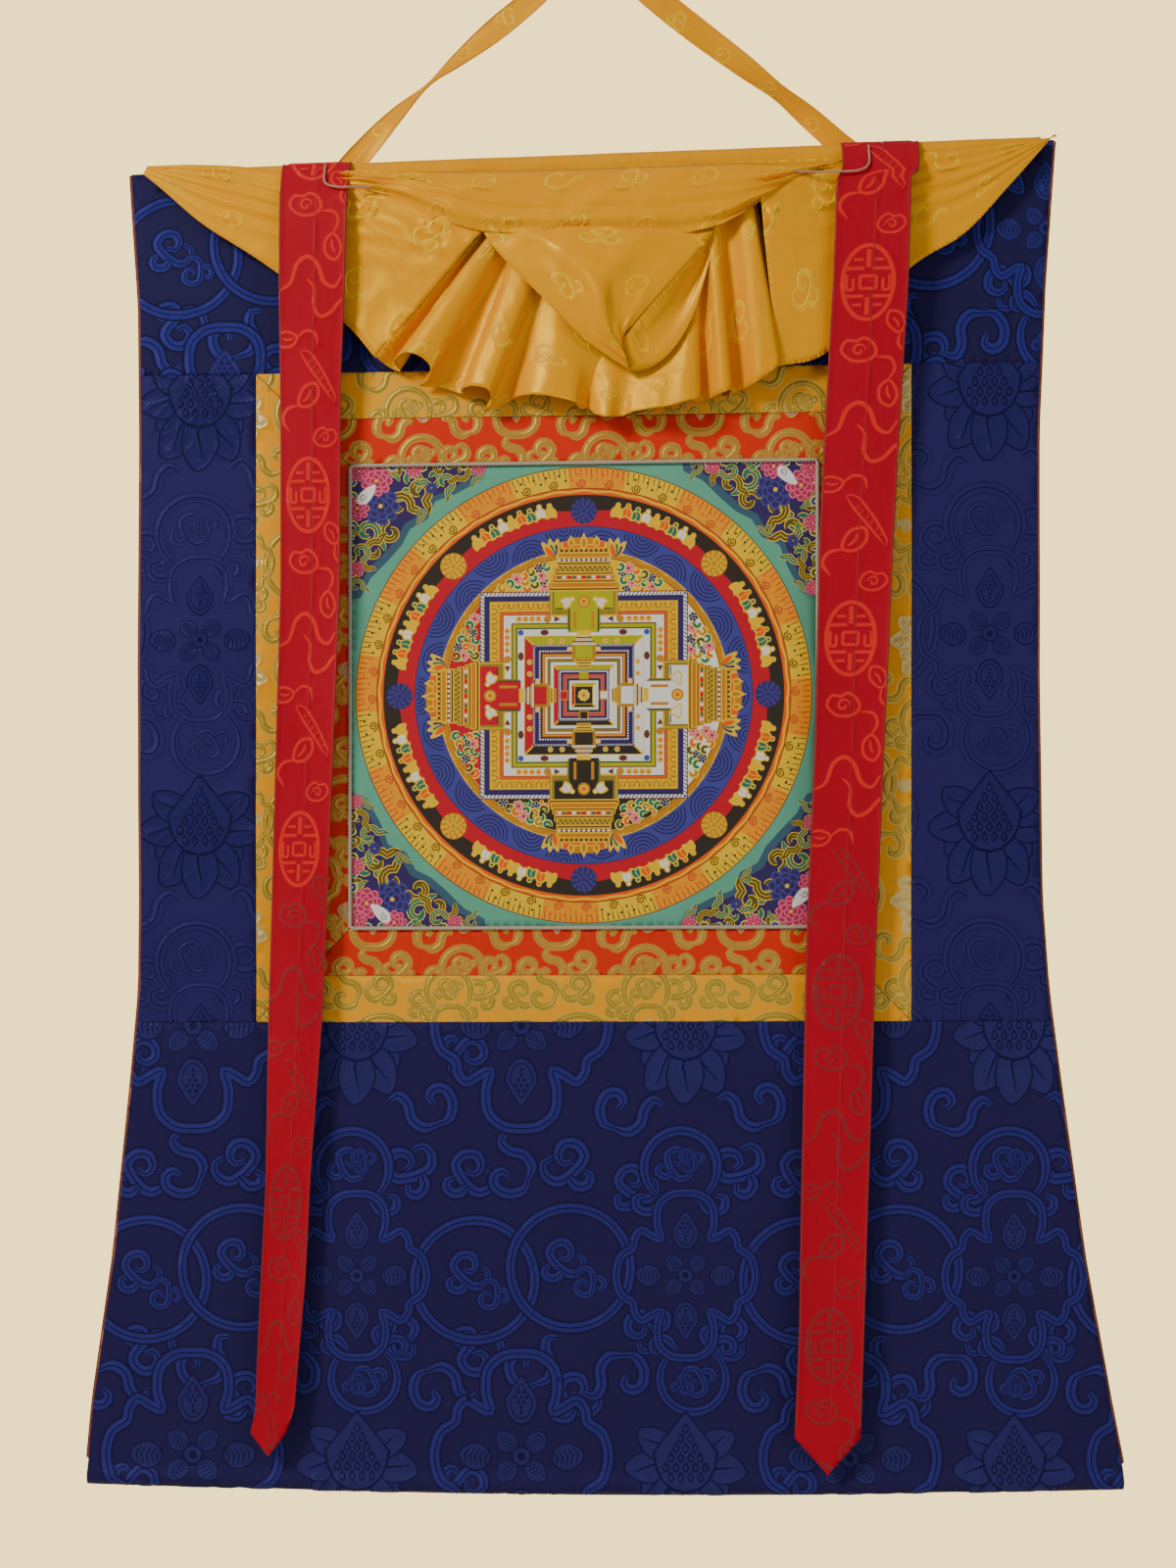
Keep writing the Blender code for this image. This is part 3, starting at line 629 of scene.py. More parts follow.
def s_cloud(drawing, tone):
    """Two curls on one bent stem."""
    band(drawing, spline([(-2, 4), (3, 0), (9, 4), (8, 13), (-1, 16), (-9, 10), (-7, 0), (-2, -9),
                          (4, -14), (13, -12), (17, -5), (12, 1)], 3.4), tone)
    band(drawing, spline([(-3, -8), (-11, -12), (-18, -8), (-17, -1), (-12, 0)], 3.4), tone)


def ring_scroll(drawing, tone):
    """A ring round two small clouds, with curls growing from its foot."""
    band(drawing, arc(0, 0, 30, -60, 240, 30), tone)
    band(drawing, spline([(15, -26), (24, -36), (35, -34), (36, -25), (29, -23)], 3.6), tone)
    band(drawing, spline([(-15, -26), (-24, -36), (-35, -34), (-36, -25), (-29, -23)], 3.6), tone)
    drawing.stamp(s_cloud, -4, 2, 0.8, tone=tone)
    drawing.stamp(s_cloud, 8, 6, 0.55, 40, -1, tone=tone)


def great_ring(drawing, tone):
    band(drawing, ring_of(0, 0, 49, 40), tone, closed=True)
    drawing.stamp(s_cloud, -6, 6, 0.95, 20, tone=tone)
    drawing.stamp(s_cloud, 14, -12, 0.7, 150, tone=tone)


def oval(x, z, half_width, half_height, sharp=0.35, steps=16):
    """An oval drawn out to a point at its top."""
    turn = np.linspace(0, 2 * np.pi, steps, endpoint=False)
    width = np.cos(turn) * (1 - sharp * np.maximum(np.sin(turn), 0))
    return np.stack([x + half_width * width, z + half_height * np.sin(turn)], axis=-1)


def bud(drawing, tone):
    """A pointed bud in nested lines round a lattice of small cells."""
    drawing.patch(f"{tone}_line", oval(0, 0, 14, 21, 0.7), 0.05)
    drawing.patch(f"{tone}_petal", oval(0, 0, 12.6, 19, 0.7), 0.2)
    drawing.patch(f"{tone}_line", oval(0, -1, 9.6, 15, 0.7), 0.05)
    drawing.patch(f"{tone}_petal", oval(0, -1, 8.6, 13.6, 0.7), 0.2)
    for row in range(5):
        cells = 3 - abs(row - 1) if row < 4 else 1
        for cell in range(max(cells, 1)):
            x = (cell - (max(cells, 1) - 1) / 2) * 4.4
            drawing.patch(f"{tone}_line", oval(x, 7 - row * 4.2, 1.3, 2.0, 0.6, 8), 0.35)


def side_bud(drawing, tone):
    """A hatched oval leaf."""
    drawing.patch(f"{tone}_line", oval(0, 0, 12, 14, 0.2), 0.05)
    drawing.patch(f"{tone}_petal", oval(0, 0, 10.6, 12.6, 0.2), 0.2)
    for step in range(-2, 3):
        drawing.stroke(f"{tone}_line", [(-7, step * 4.2 - 3), (0, step * 4.2), (7, step * 4.2 - 3)], 1.2)


def medallion(drawing, tone):
    """Four buds in a cross within a scalloped collar."""
    band(drawing, spline(COLLAR, 4.0, closed=True), tone, 6.0, closed=True)
    drawing.stamp(bud, 0, -46, 1.0, 180, tone=tone)
    drawing.stamp(bud, 0, 46, 1.0, 0, tone=tone)
    drawing.stamp(side_bud, -38, 0, 1.0, 80, tone=tone)
    drawing.stamp(side_bud, 38, 0, 1.0, -80, tone=tone)
    for turn in range(45, 405, 90):
        drawing.stamp(side_bud, 17 * math.cos(math.radians(turn)), 17 * math.sin(math.radians(turn)),
                      0.75, turn - 90, tone=tone)
    drawing.patch(f"{tone}_line", ring_of(0, 0, 8.5, 14), 0.1)
    drawing.patch(f"{tone}_petal", ring_of(0, 0, 7.0, 14), 0.3)
    drawing.patch(f"{tone}_line", ring_of(0, 0, 3.4, 10), 0.1)


PETALS = (
    # turn, length, half width
    (-128, 44, 12),
    (128, 44, 12),
    (-98, 50, 13),
    (98, 50, 13),
    (-150, 58, 14),
    (150, 58, 14),
    (-58, 46, 12),
    (58, 46, 12),
    (180, 60, 15),
)


def petal(drawing, tone, length, half_width):
    """A broad hatched petal that curls at its tip, with a dark rib."""
    side = [(0, 0), (half_width * 0.8, length * 0.35), (half_width, length * 0.7),
            (half_width * 0.3, length), (-half_width * 0.5, length * 0.9),
            (-half_width, length * 0.6), (-half_width * 0.5, length * 0.2)]
    shape = spline(side, 4.0, closed=True)
    drawing.patch(f"{tone}_petal", shape, 0.3)
    drawing.stroke(f"{tone}_line", shape, 1.1, closed=True)
    drawing.stroke(f"{tone}_line", [(0, length * 0.15), (2, length * 0.5), (-2, length * 0.85)], 1.6)
    drawing.stroke(f"{tone}_figure", [(2, length * 0.15), (4.2, length * 0.5), (0.4, length * 0.85)], 1.0)


def lotus(drawing, tone):
    """A lotus seen from the side: a bulb of cells over a fan of petals."""
    for turn, length, half_width in PETALS:
        drawing.stamp(petal, 0, 0, 1.0, turn, tone=tone, length=length, half_width=half_width)
    drawing.patch(f"{tone}_line", oval(0, 8, 27, 34, 0.8), 0.1)
    drawing.patch(f"{tone}_petal", oval(0, 8, 25, 31.5, 0.8), 0.3)
    for row in range(6):
        cells = (4, 5, 4, 3, 2, 1)[row]
        for cell in range(cells):
            x = (cell - (cells - 1) / 2) * 8.0
            drawing.patch(f"{tone}_line", oval(x, -12 + row * 8, 3.0, 4.6, 0.8, 9), 0.2)
            drawing.patch(f"{tone}_petal", oval(x, -12.4 + row * 8, 1.7, 2.8, 0.8, 8), 0.5)


REPEAT_PARTS = (
    # motif, across the repeat, down it, size, turn, flip
    (c_cloud, 62, -62, 1.15, 0, 1),
    (s_cloud, 92, -118, 1.1, 10, 1),
    (c_cloud, 126, -118, 1.1, 90, -1),
    (s_cloud, 172, -110, 1.15, -20, -1),
    (c_cloud, 214, -66, 1.15, 0, -1),
    (s_cloud, 44, -112, 1.15, 80, 1),
    (s_cloud, 226, -128, 1.0, 30, 1),
    (c_cloud, 62, -292, 1.15, 180, 1),
    (s_cloud, 98, -262, 1.1, 160, -1),
    (c_cloud, 140, -276, 1.1, 40, -1),
    (s_cloud, 178, -300, 1.1, 20, 1),
    (c_cloud, 218, -280, 1.15, 200, -1),
    (s_cloud, 236, -244, 1.0, 60, -1),
    (s_cloud, 34, -250, 1.0, -30, 1),
    (s_cloud, 88, -20, 1.0, -60, 1),
    (great_ring, 96, -204, 1.0, 0, 1),
    (great_ring, 174, -194, 1.0, 0, 1),
    (ring_scroll, -4, -112, 1.0, 0, 1),
    (ring_scroll, 6, -284, 0.9, 180, 1),
    (medallion, 0, -200, 0.8, 0, 1),
    (medallion, 134, 4, 1.0, 0, 1),
    (lotus, 0, 0, 1.0, 0, 1),
)
REPEAT = (268, 352)


def brocade(drawing, tone, x, z, left, right, low, high, scale=1.0):
    """The blue brocade's repeat, laid over a stretch of cloth from one lotus at x, z."""
    wide, tall, reach = REPEAT[0] * scale, REPEAT[1] * scale, 90 * scale
    columns = range(math.floor((left - x) / wide) - 1, math.ceil((right - x) / wide) + 1)
    rows = range(math.floor((z - high) / tall) - 1, math.ceil((z - low) / tall) + 1)
    for column in columns:
        for row in rows:
            for motif, across, down, size, turn, flip in REPEAT_PARTS:
                at_x, at_z = x + column * wide + across * scale, z - row * tall + down * scale
                near = left - reach < at_x < right + reach and low - reach < at_z < high + reach
                if near:
                    drawing.stamp(motif, at_x, at_z, size * scale, turn, flip, tone=tone)


# ---------------------------------------------------------------- the silks


# The three panels are one brocade: the differences between their blues are painted light and shade, as the
# light catches each panel's weave differently.
BLUES_AS_LIT = {
    # panel: ground, shade beside a figure, figure, fine line, hatched petal
    "top": ((0.016, 0.012, 0.070), (0.008, 0.006, 0.034), (0.024, 0.026, 0.230), (0.010, 0.009, 0.07),
            (0.024, 0.026, 0.180)),
    "side": ((0.024, 0.018, 0.120), (0.018, 0.014, 0.090), (0.024, 0.020, 0.135), (0.006, 0.006, 0.05),
             (0.020, 0.018, 0.120)),
    "bottom": ((0.019, 0.013, 0.082), (0.012, 0.009, 0.052), (0.026, 0.026, 0.200), (0.009, 0.008, 0.06),
               (0.026, 0.024, 0.140)),
}


def make_silks():
    for panel, (ground, shadow, figure, line, hatched) in BLUES_AS_LIT.items():
        sheen = {"specular_ior_level": 0.22, "specular_tint": (0.35, 0.38, 1.0)}
        INKS[f"{panel}_ground"] = woven(f"{panel}_blue_ground", ground, 0.55, 1300, "X", **sheen)
        INKS[f"{panel}_shade"] = woven(f"{panel}_blue_shade", shadow, 0.6, 1300, "X", **sheen)
        INKS[f"{panel}_figure"] = woven(f"{panel}_blue_figure", figure, 0.42, 900, "Y", **sheen)
        INKS[f"{panel}_line"] = woven(f"{panel}_blue_line", line, 0.6, 900, "Y", **sheen)
        INKS[f"{panel}_petal"] = woven(
            f"{panel}_blue_petal", hatched, 0.42, 420, "DIAGONAL", depth=0.0003, vary=0.25, **sheen
        )


# ---------------------------------------------------------------- the blue cloth


def make_blue_panels():
    left, right = float(side_edge(TOP_Z, False)), float(side_edge(TOP_Z, True))
    across = np.linspace(left, right, 190)
    upper = np.stack([across, cloth_top(across)], axis=-1)
    down = np.linspace(TOP_Z - 20, UPPER_SEAM, 20)
    right_side = np.stack([side_edge(down, True), down], axis=-1)
    left_side = np.stack([side_edge(down, False), down], axis=-1)[::-1]
    foot = UPPER_SEAM + SEAM_GAP / 2
    lower = stepped([(right_side[-1][0], foot), (left_side[0][0], foot)])
    outline = np.vstack([upper, right_side[:-1], lower[: len(lower) // 2 + 1], left_side[1:]])[::-1]
    drawing = Drawing("top_ground", 1.3)
    brocade(drawing, "top", -168, -393, left, right, UPPER_SEAM, TOP_Z)
    piece = lay("top_panel", outline, drawing, front_of)
    declare(piece, ["blue_panel_top"], (right - left, TOP_Z - UPPER_SEAM),
            area=(right - left) * (TOP_Z - UPPER_SEAM - 14))

    for side in ("left", "right"):
        is_right = side == "right"
        inner = CENTRE_X + (1 if is_right else -1) * (GOLD_HALF_WIDTH + SEAM_GAP / 2)
        down = np.linspace(UPPER_SEAM - SEAM_GAP / 2, LOWER_SEAM + SEAM_GAP / 2, 60)
        far = np.stack([side_edge(down, is_right), down], axis=-1)
        near = np.stack([np.full(60, inner), down], axis=-1)
        outline = np.vstack([near, far[::-1]]) if is_right else np.vstack([far, near[::-1]])
        drawing = Drawing("side_ground", 1.3)
        at = 322 if is_right else -322
        brocade(drawing, "side", at, -364, outline[:, 0].min(), outline[:, 0].max(), LOWER_SEAM, UPPER_SEAM)
        piece = lay(f"{side}_panel", outline, drawing, front_of)
        width = abs(float(side_edge(CENTRE_Z, is_right)) - inner)
        declare(piece, [f"blue_panel_{side}"], (width, 2 * GOLD_HALF_HEIGHT))




def roll_table():
    """Down the front, round the rod and up behind it: how far along, y, and height over its middle."""
    turn = np.radians(np.arange(150, 431, 10))
    y = np.concatenate([[-BROCADE / 2], ROLL_DEPTH + ROLL_RADIUS * np.cos(turn)])
    z = np.concatenate([[ROLL_RADIUS + ROLL_NECK], ROLL_RADIUS * np.sin(turn)])
    along = np.concatenate([[0], np.cumsum(np.hypot(np.diff(y), np.diff(z)))])
    return along, y, z


ROLL = roll_table()


def roll_middle(x, z):
    left, right = side_edge(z, False), side_edge(z, True)
    share = np.clip((x - left) / (right - left), 0, 1)
    return ROLL_Z - ROLL_SAG * (1 - (2 * share - 1) ** 2)


def lower_cloth(x, z):
    """The bottom panel's face: flat to the neck of its hem, then round the rod."""
    x, z = np.asarray(x, float), np.asarray(z, float)
    middle = roll_middle(x, z)
    neck = middle + ROLL_RADIUS + ROLL_NECK
    past = np.maximum(neck - z, 0)
    y = np.interp(past, ROLL[0], ROLL[1])
    height = np.interp(past, ROLL[0], ROLL[2])
    flat = front_of(x, np.maximum(z, neck))
    rolled = np.stack([x, swell(x, neck) + y, middle + height + rise_at(neck) * x], axis=-1)
    return np.where((past > 0)[..., None], rolled, flat)


def make_bottom_panel():
    reach = ROLL[0][-1]
    down = np.linspace(LOWER_SEAM - SEAM_GAP / 2, ROLL_Z + 10, 40)
    right_side = np.stack([side_edge(down, True), down], axis=-1)
    left_side = np.stack([side_edge(down, False), down], axis=-1)[::-1]
    low_x = np.linspace(right_side[-1][0] + 1, left_side[0][0] - 1, 90)
    wrapped = np.stack([low_x, roll_middle(low_x, ROLL_Z + low_x * 0) + 10 - reach], axis=-1)
    right_hem = stepped([right_side[-1], wrapped[0]], 4)[1 : round(reach / 4)]
    left_hem = stepped([wrapped[-1], left_side[0]], 4)[1 : round(reach / 4)]
    seam = stepped([left_side[-1], right_side[0]])
    seam = seam[1 : len(seam) // 2]
    outline = np.vstack([right_side, right_hem, wrapped, left_hem, left_side, seam])[::-1]
    drawing = Drawing("bottom_ground", 1.3)
    brocade(drawing, "bottom", 74, -885, -420, 440, ROLL_Z - 60, LOWER_SEAM)
    piece = lay("bottom_panel", outline, drawing, lower_cloth, step=8)
    height = LOWER_SEAM - ROLL_Z + 40
    declare(piece, ["blue_panel_bottom"], (830, height))


# ---------------------------------------------------------------- the cover, gathered up


def surface(grid, width, height):
    """place(x, z) over a grid of points: x runs along a row from 0, z down from 0 by row."""
    rows, columns = grid.shape[:2]

    def place(x, z):
        across = np.clip(np.asarray(x) / width, 0, 1) * (columns - 1)
        down = np.clip(-np.asarray(z) / height, 0, 1) * (rows - 1)
        column = np.minimum(across.astype(int), columns - 2)
        row = np.minimum(down.astype(int), rows - 2)
        share_x, share_z = (across - column)[:, None], (down - row)[:, None]
        upper = grid[row, column] * (1 - share_x) + grid[row, column + 1] * share_x
        lower = grid[row + 1, column] * (1 - share_x) + grid[row + 1, column + 1] * share_x
        return upper * (1 - share_z) + lower * share_z

    return place


def rail(points, count):
    """Evenly spaced points on a smooth line through x, z and how far in front it stands."""
    line = spline([(x, -front, z) for x, z, front in points], 2.0)
    return respaced(line, count)


def respaced(line, count):
    along = np.concatenate([[0], np.cumsum(np.linalg.norm(np.diff(line, axis=0), axis=1))])
    at = np.linspace(0, along[-1], count)
    return np.stack([np.interp(at, along, line[:, k]) for k in range(line.shape[1])], axis=-1)


def length_of(line):
    return float(np.linalg.norm(np.diff(line, axis=0), axis=1).sum())


def matched(points, parts, count):
    """Like rail, but with the same share of points between each two of the given ones."""
    points = np.array([(x, -front, z) for x, z, front in points])
    at = np.interp(np.linspace(0, 1, count), parts, np.linspace(0, 1, len(points)))
    dense = spline(np.column_stack([points, np.linspace(0, 1, len(points)) * 500]), 2.0)
    order = dense[:, 3] / 500
    return np.stack([np.interp(at, order, dense[:, k]) for k in range(3)], axis=-1)


COVER_KNEE = 42.0
COVER_GIVE = 7.0
CREASE_LINES = (
    # along, across, start, bend, how proud
    (11, 5, 0.3, 1.3, 1.0),
    (7, -9, 1.1, 2.1, 0.9),
    (17, 3, 2.0, 1.7, 0.7),
    (5, 15, 0.7, 2.6, 0.6),
    (23, -11, 2.7, 1.1, 0.45),
)


def crumple(u, v, height):
    """Sharp little creases where the silk was folded, running several ways."""
    total = 0 * u
    for along, across, start, bend, proud in CREASE_LINES:
        wave = np.abs(np.sin(along * u + across * v + start + bend * np.sin(across * 0.4 * u + 3 * v)))
        total = total + proud * (1 - wave) ** 3
    return height * total


def between(upper, lower, rows, belly):
    """Rows of points from one rail to the other, pushed to the front by belly(u, v)."""
    count = len(upper)
    v, u = np.meshgrid(np.linspace(0, 1, rows), np.linspace(0, 1, count), indexing="ij")
    grid = upper[None] * (1 - v[..., None]) + lower[None] * v[..., None]
    depth = belly(u, v) - grid[..., 1]
    past = np.maximum(depth - COVER_KNEE, 0)
    grid[..., 1] = -np.minimum(depth, COVER_KNEE) - COVER_GIVE * np.tanh(past / COVER_GIVE)
    return grid


def ridge(at, middle, half_width):
    """A soft fold, 1 along its crest."""
    return np.exp(-(((at - middle) / half_width) ** 2))


# Each rail is a list of points: x, z, and how far it stands in front of the cloth's plane
LEFT_WING = (
    # along the heading and the gathers
    ((-362, -184, 16), (-320, -183, 16), (-270, -186, 15), (-202, -200, 18), (-147, -214, 24),
     (-90, -239, 26)),
    # along the hem
    ((-366, -190, 14), (-350, -203, 14), (-317, -231, 14), (-270, -261, 13), (-205, -309, 14),
     (-178, -339, 17)),
)
RIGHT_WING = (
    ((374, -160, 15), (312, -168, 16), (254, -174, 15), (205, -184, 18), (160, -192, 25),
     (132, -206, 28)),
    ((372, -158, 14), (335, -200, 15), (299, -238, 14), (254, -267, 13), (190, -333, 15),
     (148, -347, 20)),
)
LEFT_FAN = (
    # share of the hem, upper x, z, front, hem x, z, front
    (0.00, -92, -240, 25, -177, -339, 18),
    (0.04, -90, -242, 20, -168, -345, 9),
    (0.08, -90, -244, 22, -158, -349, 10),
    (0.12, -90, -245, 26, -163, -342, 18),
    (0.17, -88, -246, 30, -154, -337, 28),
    (0.23, -84, -248, 31, -140, -341, 31),
    (0.28, -80, -252, 30, -132, -349, 26),
    (0.33, -77, -256, 26, -135, -358, 16),
    (0.38, -76, -262, 20, -142, -361, 9),
    (0.43, -74, -267, 19, -124, -362, 8),
    (0.47, -72, -269, 22, -109, -367, 10),
    (0.51, -70, -271, 26, -108, -365, 20),
    (0.56, -64, -275, 30, -98, -364, 30),
    (0.62, -56, -280, 31, -85, -368, 30),
    (0.66, -50, -286, 27, -83, -377, 21),
    (0.70, -48, -290, 22, -90, -382, 10),
    (0.74, -44, -294, 20, -72, -374, 7),
    (0.78, -40, -298, 22, -63, -370, 16),
    (0.84, -28, -308, 25, -42, -371, 27),
    (0.90, -14, -320, 25, -17, -376, 26),
    (0.95, 2, -332, 23, -12, -380, 14),
    (1.00, 12, -340, 20, -2, -377, 8),
)
RIGHT_FAN = (
    (0.00, -2, -330, 18, -8, -376, 8),
    (0.05, 4, -336, 20, 0, -385, 19),
    (0.10, 14, -344, 22, 10, -388, 24),
    (0.17, 26, -348, 23, 22, -386, 16),
    (0.24, 40, -348, 24, 34, -383, 24),
    (0.36, 60, -336, 26, 60, -380, 31),
    (0.45, 76, -312, 27, 82, -374, 30),
    (0.49, 84, -286, 25, 85, -372, 19),
    (0.52, 86, -262, 22, 79, -372, 9),
    (0.56, 88, -250, 24, 89, -373, 11),
    (0.62, 92, -246, 30, 101, -370, 29),
    (0.67, 98, -242, 31, 110, -367, 28),
    (0.70, 102, -240, 27, 109, -369, 17),
    (0.73, 104, -237, 22, 104, -369, 8),
    (0.77, 110, -232, 24, 117, -365, 12),
    (0.83, 118, -224, 30, 132, -359, 27),
    (0.90, 126, -220, 31, 147, -348, 28),
    (0.95, 130, -222, 26, 152, -343, 16),
    (1.00, 134, -226, 20, 160, -344, 12),
)
SWATH = (
    # along the heading's top, then along the lower crease
    ((-206, -188, 17), (-150, -190, 21), (-60, -189, 22), (40, -186, 22), (110, -183, 22),
     (152, -184, 22), (200, -180, 17)),
    ((-204, -201, 20), (-160, -211, 25), (-96, -239, 29), (-10, -240, 32), (78, -241, 31),
     (124, -222, 29), (150, -200, 23)),
)
BIB = (
    # share down, left x, z, front, right x, z, front
    (0.00, -92, -236, 28, 96, -238, 27),
    (0.12, -86, -246, 28, 92, -246, 30),
    (0.30, -72, -264, 30, 76, -266, 32),
    (0.55, -42, -294, 32, 52, -292, 33),
    (0.78, -10, -326, 31, 32, -314, 33),
    (1.00, 28, -352, 27, 20, -327, 32),
)
COWL = (
    # share down, front rim x, z, front, back rim x, z, front
    (0.00, 96, -238, 27, 97, -240, 25),
    (0.25, 78, -264, 32, 88, -276, 26),
    (0.50, 56, -288, 33, 76, -312, 27),
    (0.75, 36, -311, 33, 60, -337, 28),
    (0.90, 26, -322, 32, 42, -350, 27),
    (1.00, 20, -327, 32, 27, -352, 27),
)


def creases(u, v, table):
    """Folds that run along the cloth and close up towards its gathered end."""
    total = 0 * u
    for start, end, width, height in table:
        middle = start * (1 - u ** 1.6) + end * u ** 1.6
        total = total + height * ridge(v, middle, width * (1 - 0.55 * u)) * np.minimum(u * 3.2, 1)
    return total


WING_FOLDS = (
    # where across the near end and the far end, width, height
    (0.10, 0.02, 0.045, 3.2),
    (0.26, 0.06, 0.05, 4.2),
    (0.42, 0.12, 0.06, 4.6),
    (0.62, 0.18, 0.07, 3.4),
    (0.84, 0.30, 0.09, 1.6),
)
BIB_FOLDS = (
    # across at the top, across at the tip, width, height
    (0.16, 0.75, 0.07, 3.0),
    (0.34, 0.55, 0.09, 4.2),
    (0.58, 0.40, 0.10, 3.4),
    (0.80, 0.25, 0.08, 3.6),
)
RAIL_POINTS = 150
COVER_ROWS = 60
FAN_ROWS = 46
TUCKED_UNDER = 0.11
FAN_BEHIND = 5.5
SILK_EDGE = 0.9


def two_rails(table, count):
    table = np.array(table, float)
    upper = matched(table[:, 1:4], table[:, 0], count)
    lower = matched(table[:, 4:7], table[:, 0], count)
    tucked = upper + (upper - lower) * TUCKED_UNDER
    tucked[:, 1] = upper[:, 1] + FAN_BEHIND
    return tucked, lower


def silk_figures(drawing, width, height, seed, pitch=58):
    """Small clouds and rings in the same colour, scattered in rows."""
    chance = random.Random(seed)
    for row in range(int(height / pitch) + 2):
        for column in range(int(width / pitch) + 2):
            x = (column + 0.5 * (row % 2)) * pitch
            z = -row * pitch * 0.8 - 14
            motif = (c_cloud, s_cloud, coin)[(row + column) % 3]
            drawing.stamp(motif, x, z, 0.62, chance.uniform(-30, 30), chance.choice((-1, 1)), tone="silk")


def coin(drawing, tone):
    """A ring crossed by a square, a common silk figure."""
    drawing.stroke(f"{tone}_figure", ring_of(0, 0, 14, 20), 2.2, closed=True, raised=0.1)
    for turn in range(0, 360, 90):
        angle = math.radians(turn + 45)
        corner = (5 * math.cos(angle), 5 * math.sin(angle))
        far = (12 * math.cos(angle), 12 * math.sin(angle))
        drawing.stroke(f"{tone}_figure", [corner, far], 1.6, raised=0.1)


def silk_patch(name, grid, seed, step=4.0):
    """One draped stretch of the cover, from its grid of points."""
    width = (length_of(grid[0]) + length_of(grid[-1])) / 2
    height = float(np.mean([length_of(grid[:, k]) for k in range(0, grid.shape[1], 10)]))
    drawing = Drawing("silk_ground")
    silk_figures(drawing, width, height, seed)
    outline = stepped([(0, -height), (width, -height), (width, 0), (0, 0)], 3.0)
    return lay(name, outline, drawing, surface(grid, width, height), step, SILK_EDGE)


def wing_folds(u, v):
    """The wing's folds, from its tip in to the gathers."""
    return creases(u, v, WING_FOLDS) + crumple(u, v, 0.9) * u ** 2


def fan_ripple(u, v):
    """Fine waves that grow towards the fan's hem."""
    return 0.7 * v * np.sin(u * 61 + 2 * v) + crumple(u * 2.2, v, 1.0) * v * (1.2 - v)


def cowl_hollow(u, v):
    """How far the cloth sinks in between the cowl's two rims."""
    return -11 * np.sin(np.pi * v) * np.sin(np.pi * np.minimum(u * 1.1, 1)) ** 0.6


def make_cover():
    top, hem = rail(LEFT_WING[0], RAIL_POINTS), rail(LEFT_WING[1], RAIL_POINTS)
    parts = [silk_patch("left_wing", between(top, hem, COVER_ROWS, wing_folds), 3)]
    top, hem = rail(RIGHT_WING[0], RAIL_POINTS)[::-1], rail(RIGHT_WING[1], RAIL_POINTS)[::-1]
    inwards = between(top, hem, COVER_ROWS, lambda u, v: wing_folds(1 - u, v))
    parts.append(silk_patch("right_wing", inwards, 4))

    for name, table, seed in (("left_fan", LEFT_FAN, 5), ("right_fan", RIGHT_FAN, 6)):
        upper, hem = two_rails(table, 320)
        parts.append(silk_patch(name, between(upper, hem, FAN_ROWS, fan_ripple), seed, 3.4))

    top, crease = rail(SWATH[0], RAIL_POINTS), rail(SWATH[1], RAIL_POINTS)

    def swath_shape(u, v):
        round_over = 6.5 * np.sin(np.pi * np.minimum(v * 1.05, 1)) ** 0.8 * np.sin(np.pi * u) ** 0.5
        fold = 3.0 * ridge(v, 0.16, 0.05) + 2.4 * ridge(v, 0.86 - 0.3 * np.abs(u - 0.5), 0.05)
        gather = 2.6 * np.sin(v * 24 + 3 * u) * (ridge(u, 0.90, 0.07) + ridge(u, 0.06, 0.09))
        long_folds = 0 * u
        for lie, sag, height in ((0.30, 0.16, 4.2), (0.48, 0.22, 5.0), (0.66, 0.20, 4.0), (0.80, 0.14, 3.2)):
            middle = lie + sag * (np.sin(np.pi * u) - 0.6)
            fuller = 0.35 + 0.65 * np.abs(np.cos(np.pi * u))
            long_folds = long_folds + height * ridge(v, middle, 0.055) * fuller
        edge = np.minimum(v * 14, 1)
        return round_over + fold * np.sin(np.pi * u) + (gather + long_folds + crumple(u, v, 1.3)) * edge

    parts.append(silk_patch("swath", between(top, crease, COVER_ROWS, swath_shape), 7))

    table = np.array(BIB, float)
    left = matched(table[:, 1:4], table[:, 0], 90)
    right = matched(table[:, 4:7], table[:, 0], 90)

    def bib_shape(u, v):
        round_over = 6 * np.sin(np.pi * v) * (1 - 0.4 * u)
        total = round_over
        for start, end, width, height in BIB_FOLDS:
            middle = start * (1 - u) + end * u
            total = total + height * ridge(v, middle, width) * np.minimum(u * 5, 1) * (1 - u * 0.5)
        return total + crumple(v, u, 1.4) * np.sin(np.pi * v) ** 0.5

    grid = between(left, right, 80, bib_shape)
    parts.append(silk_patch("bib", np.transpose(grid, (1, 0, 2)), 8))

    table = np.array(COWL, float)
    front = matched(table[:, 1:4], table[:, 0], 90)
    back = matched(table[:, 4:7], table[:, 0], 90)
    grid = between(front, back, 40, cowl_hollow)
    parts.append(silk_patch("cowl", np.transpose(grid, (1, 0, 2)), 9))

    cover = joined("cover", parts)
    declare(cover, ["cover_cloth"], (730, 200))


def joined(name, parts):
    with bpy.context.temp_override(active_object=parts[0], selected_editable_objects=parts):
        bpy.ops.object.join()
    parts[0].name = name
    return parts[0]


# ---------------------------------------------------------------- heading, ribbons, strap and cords


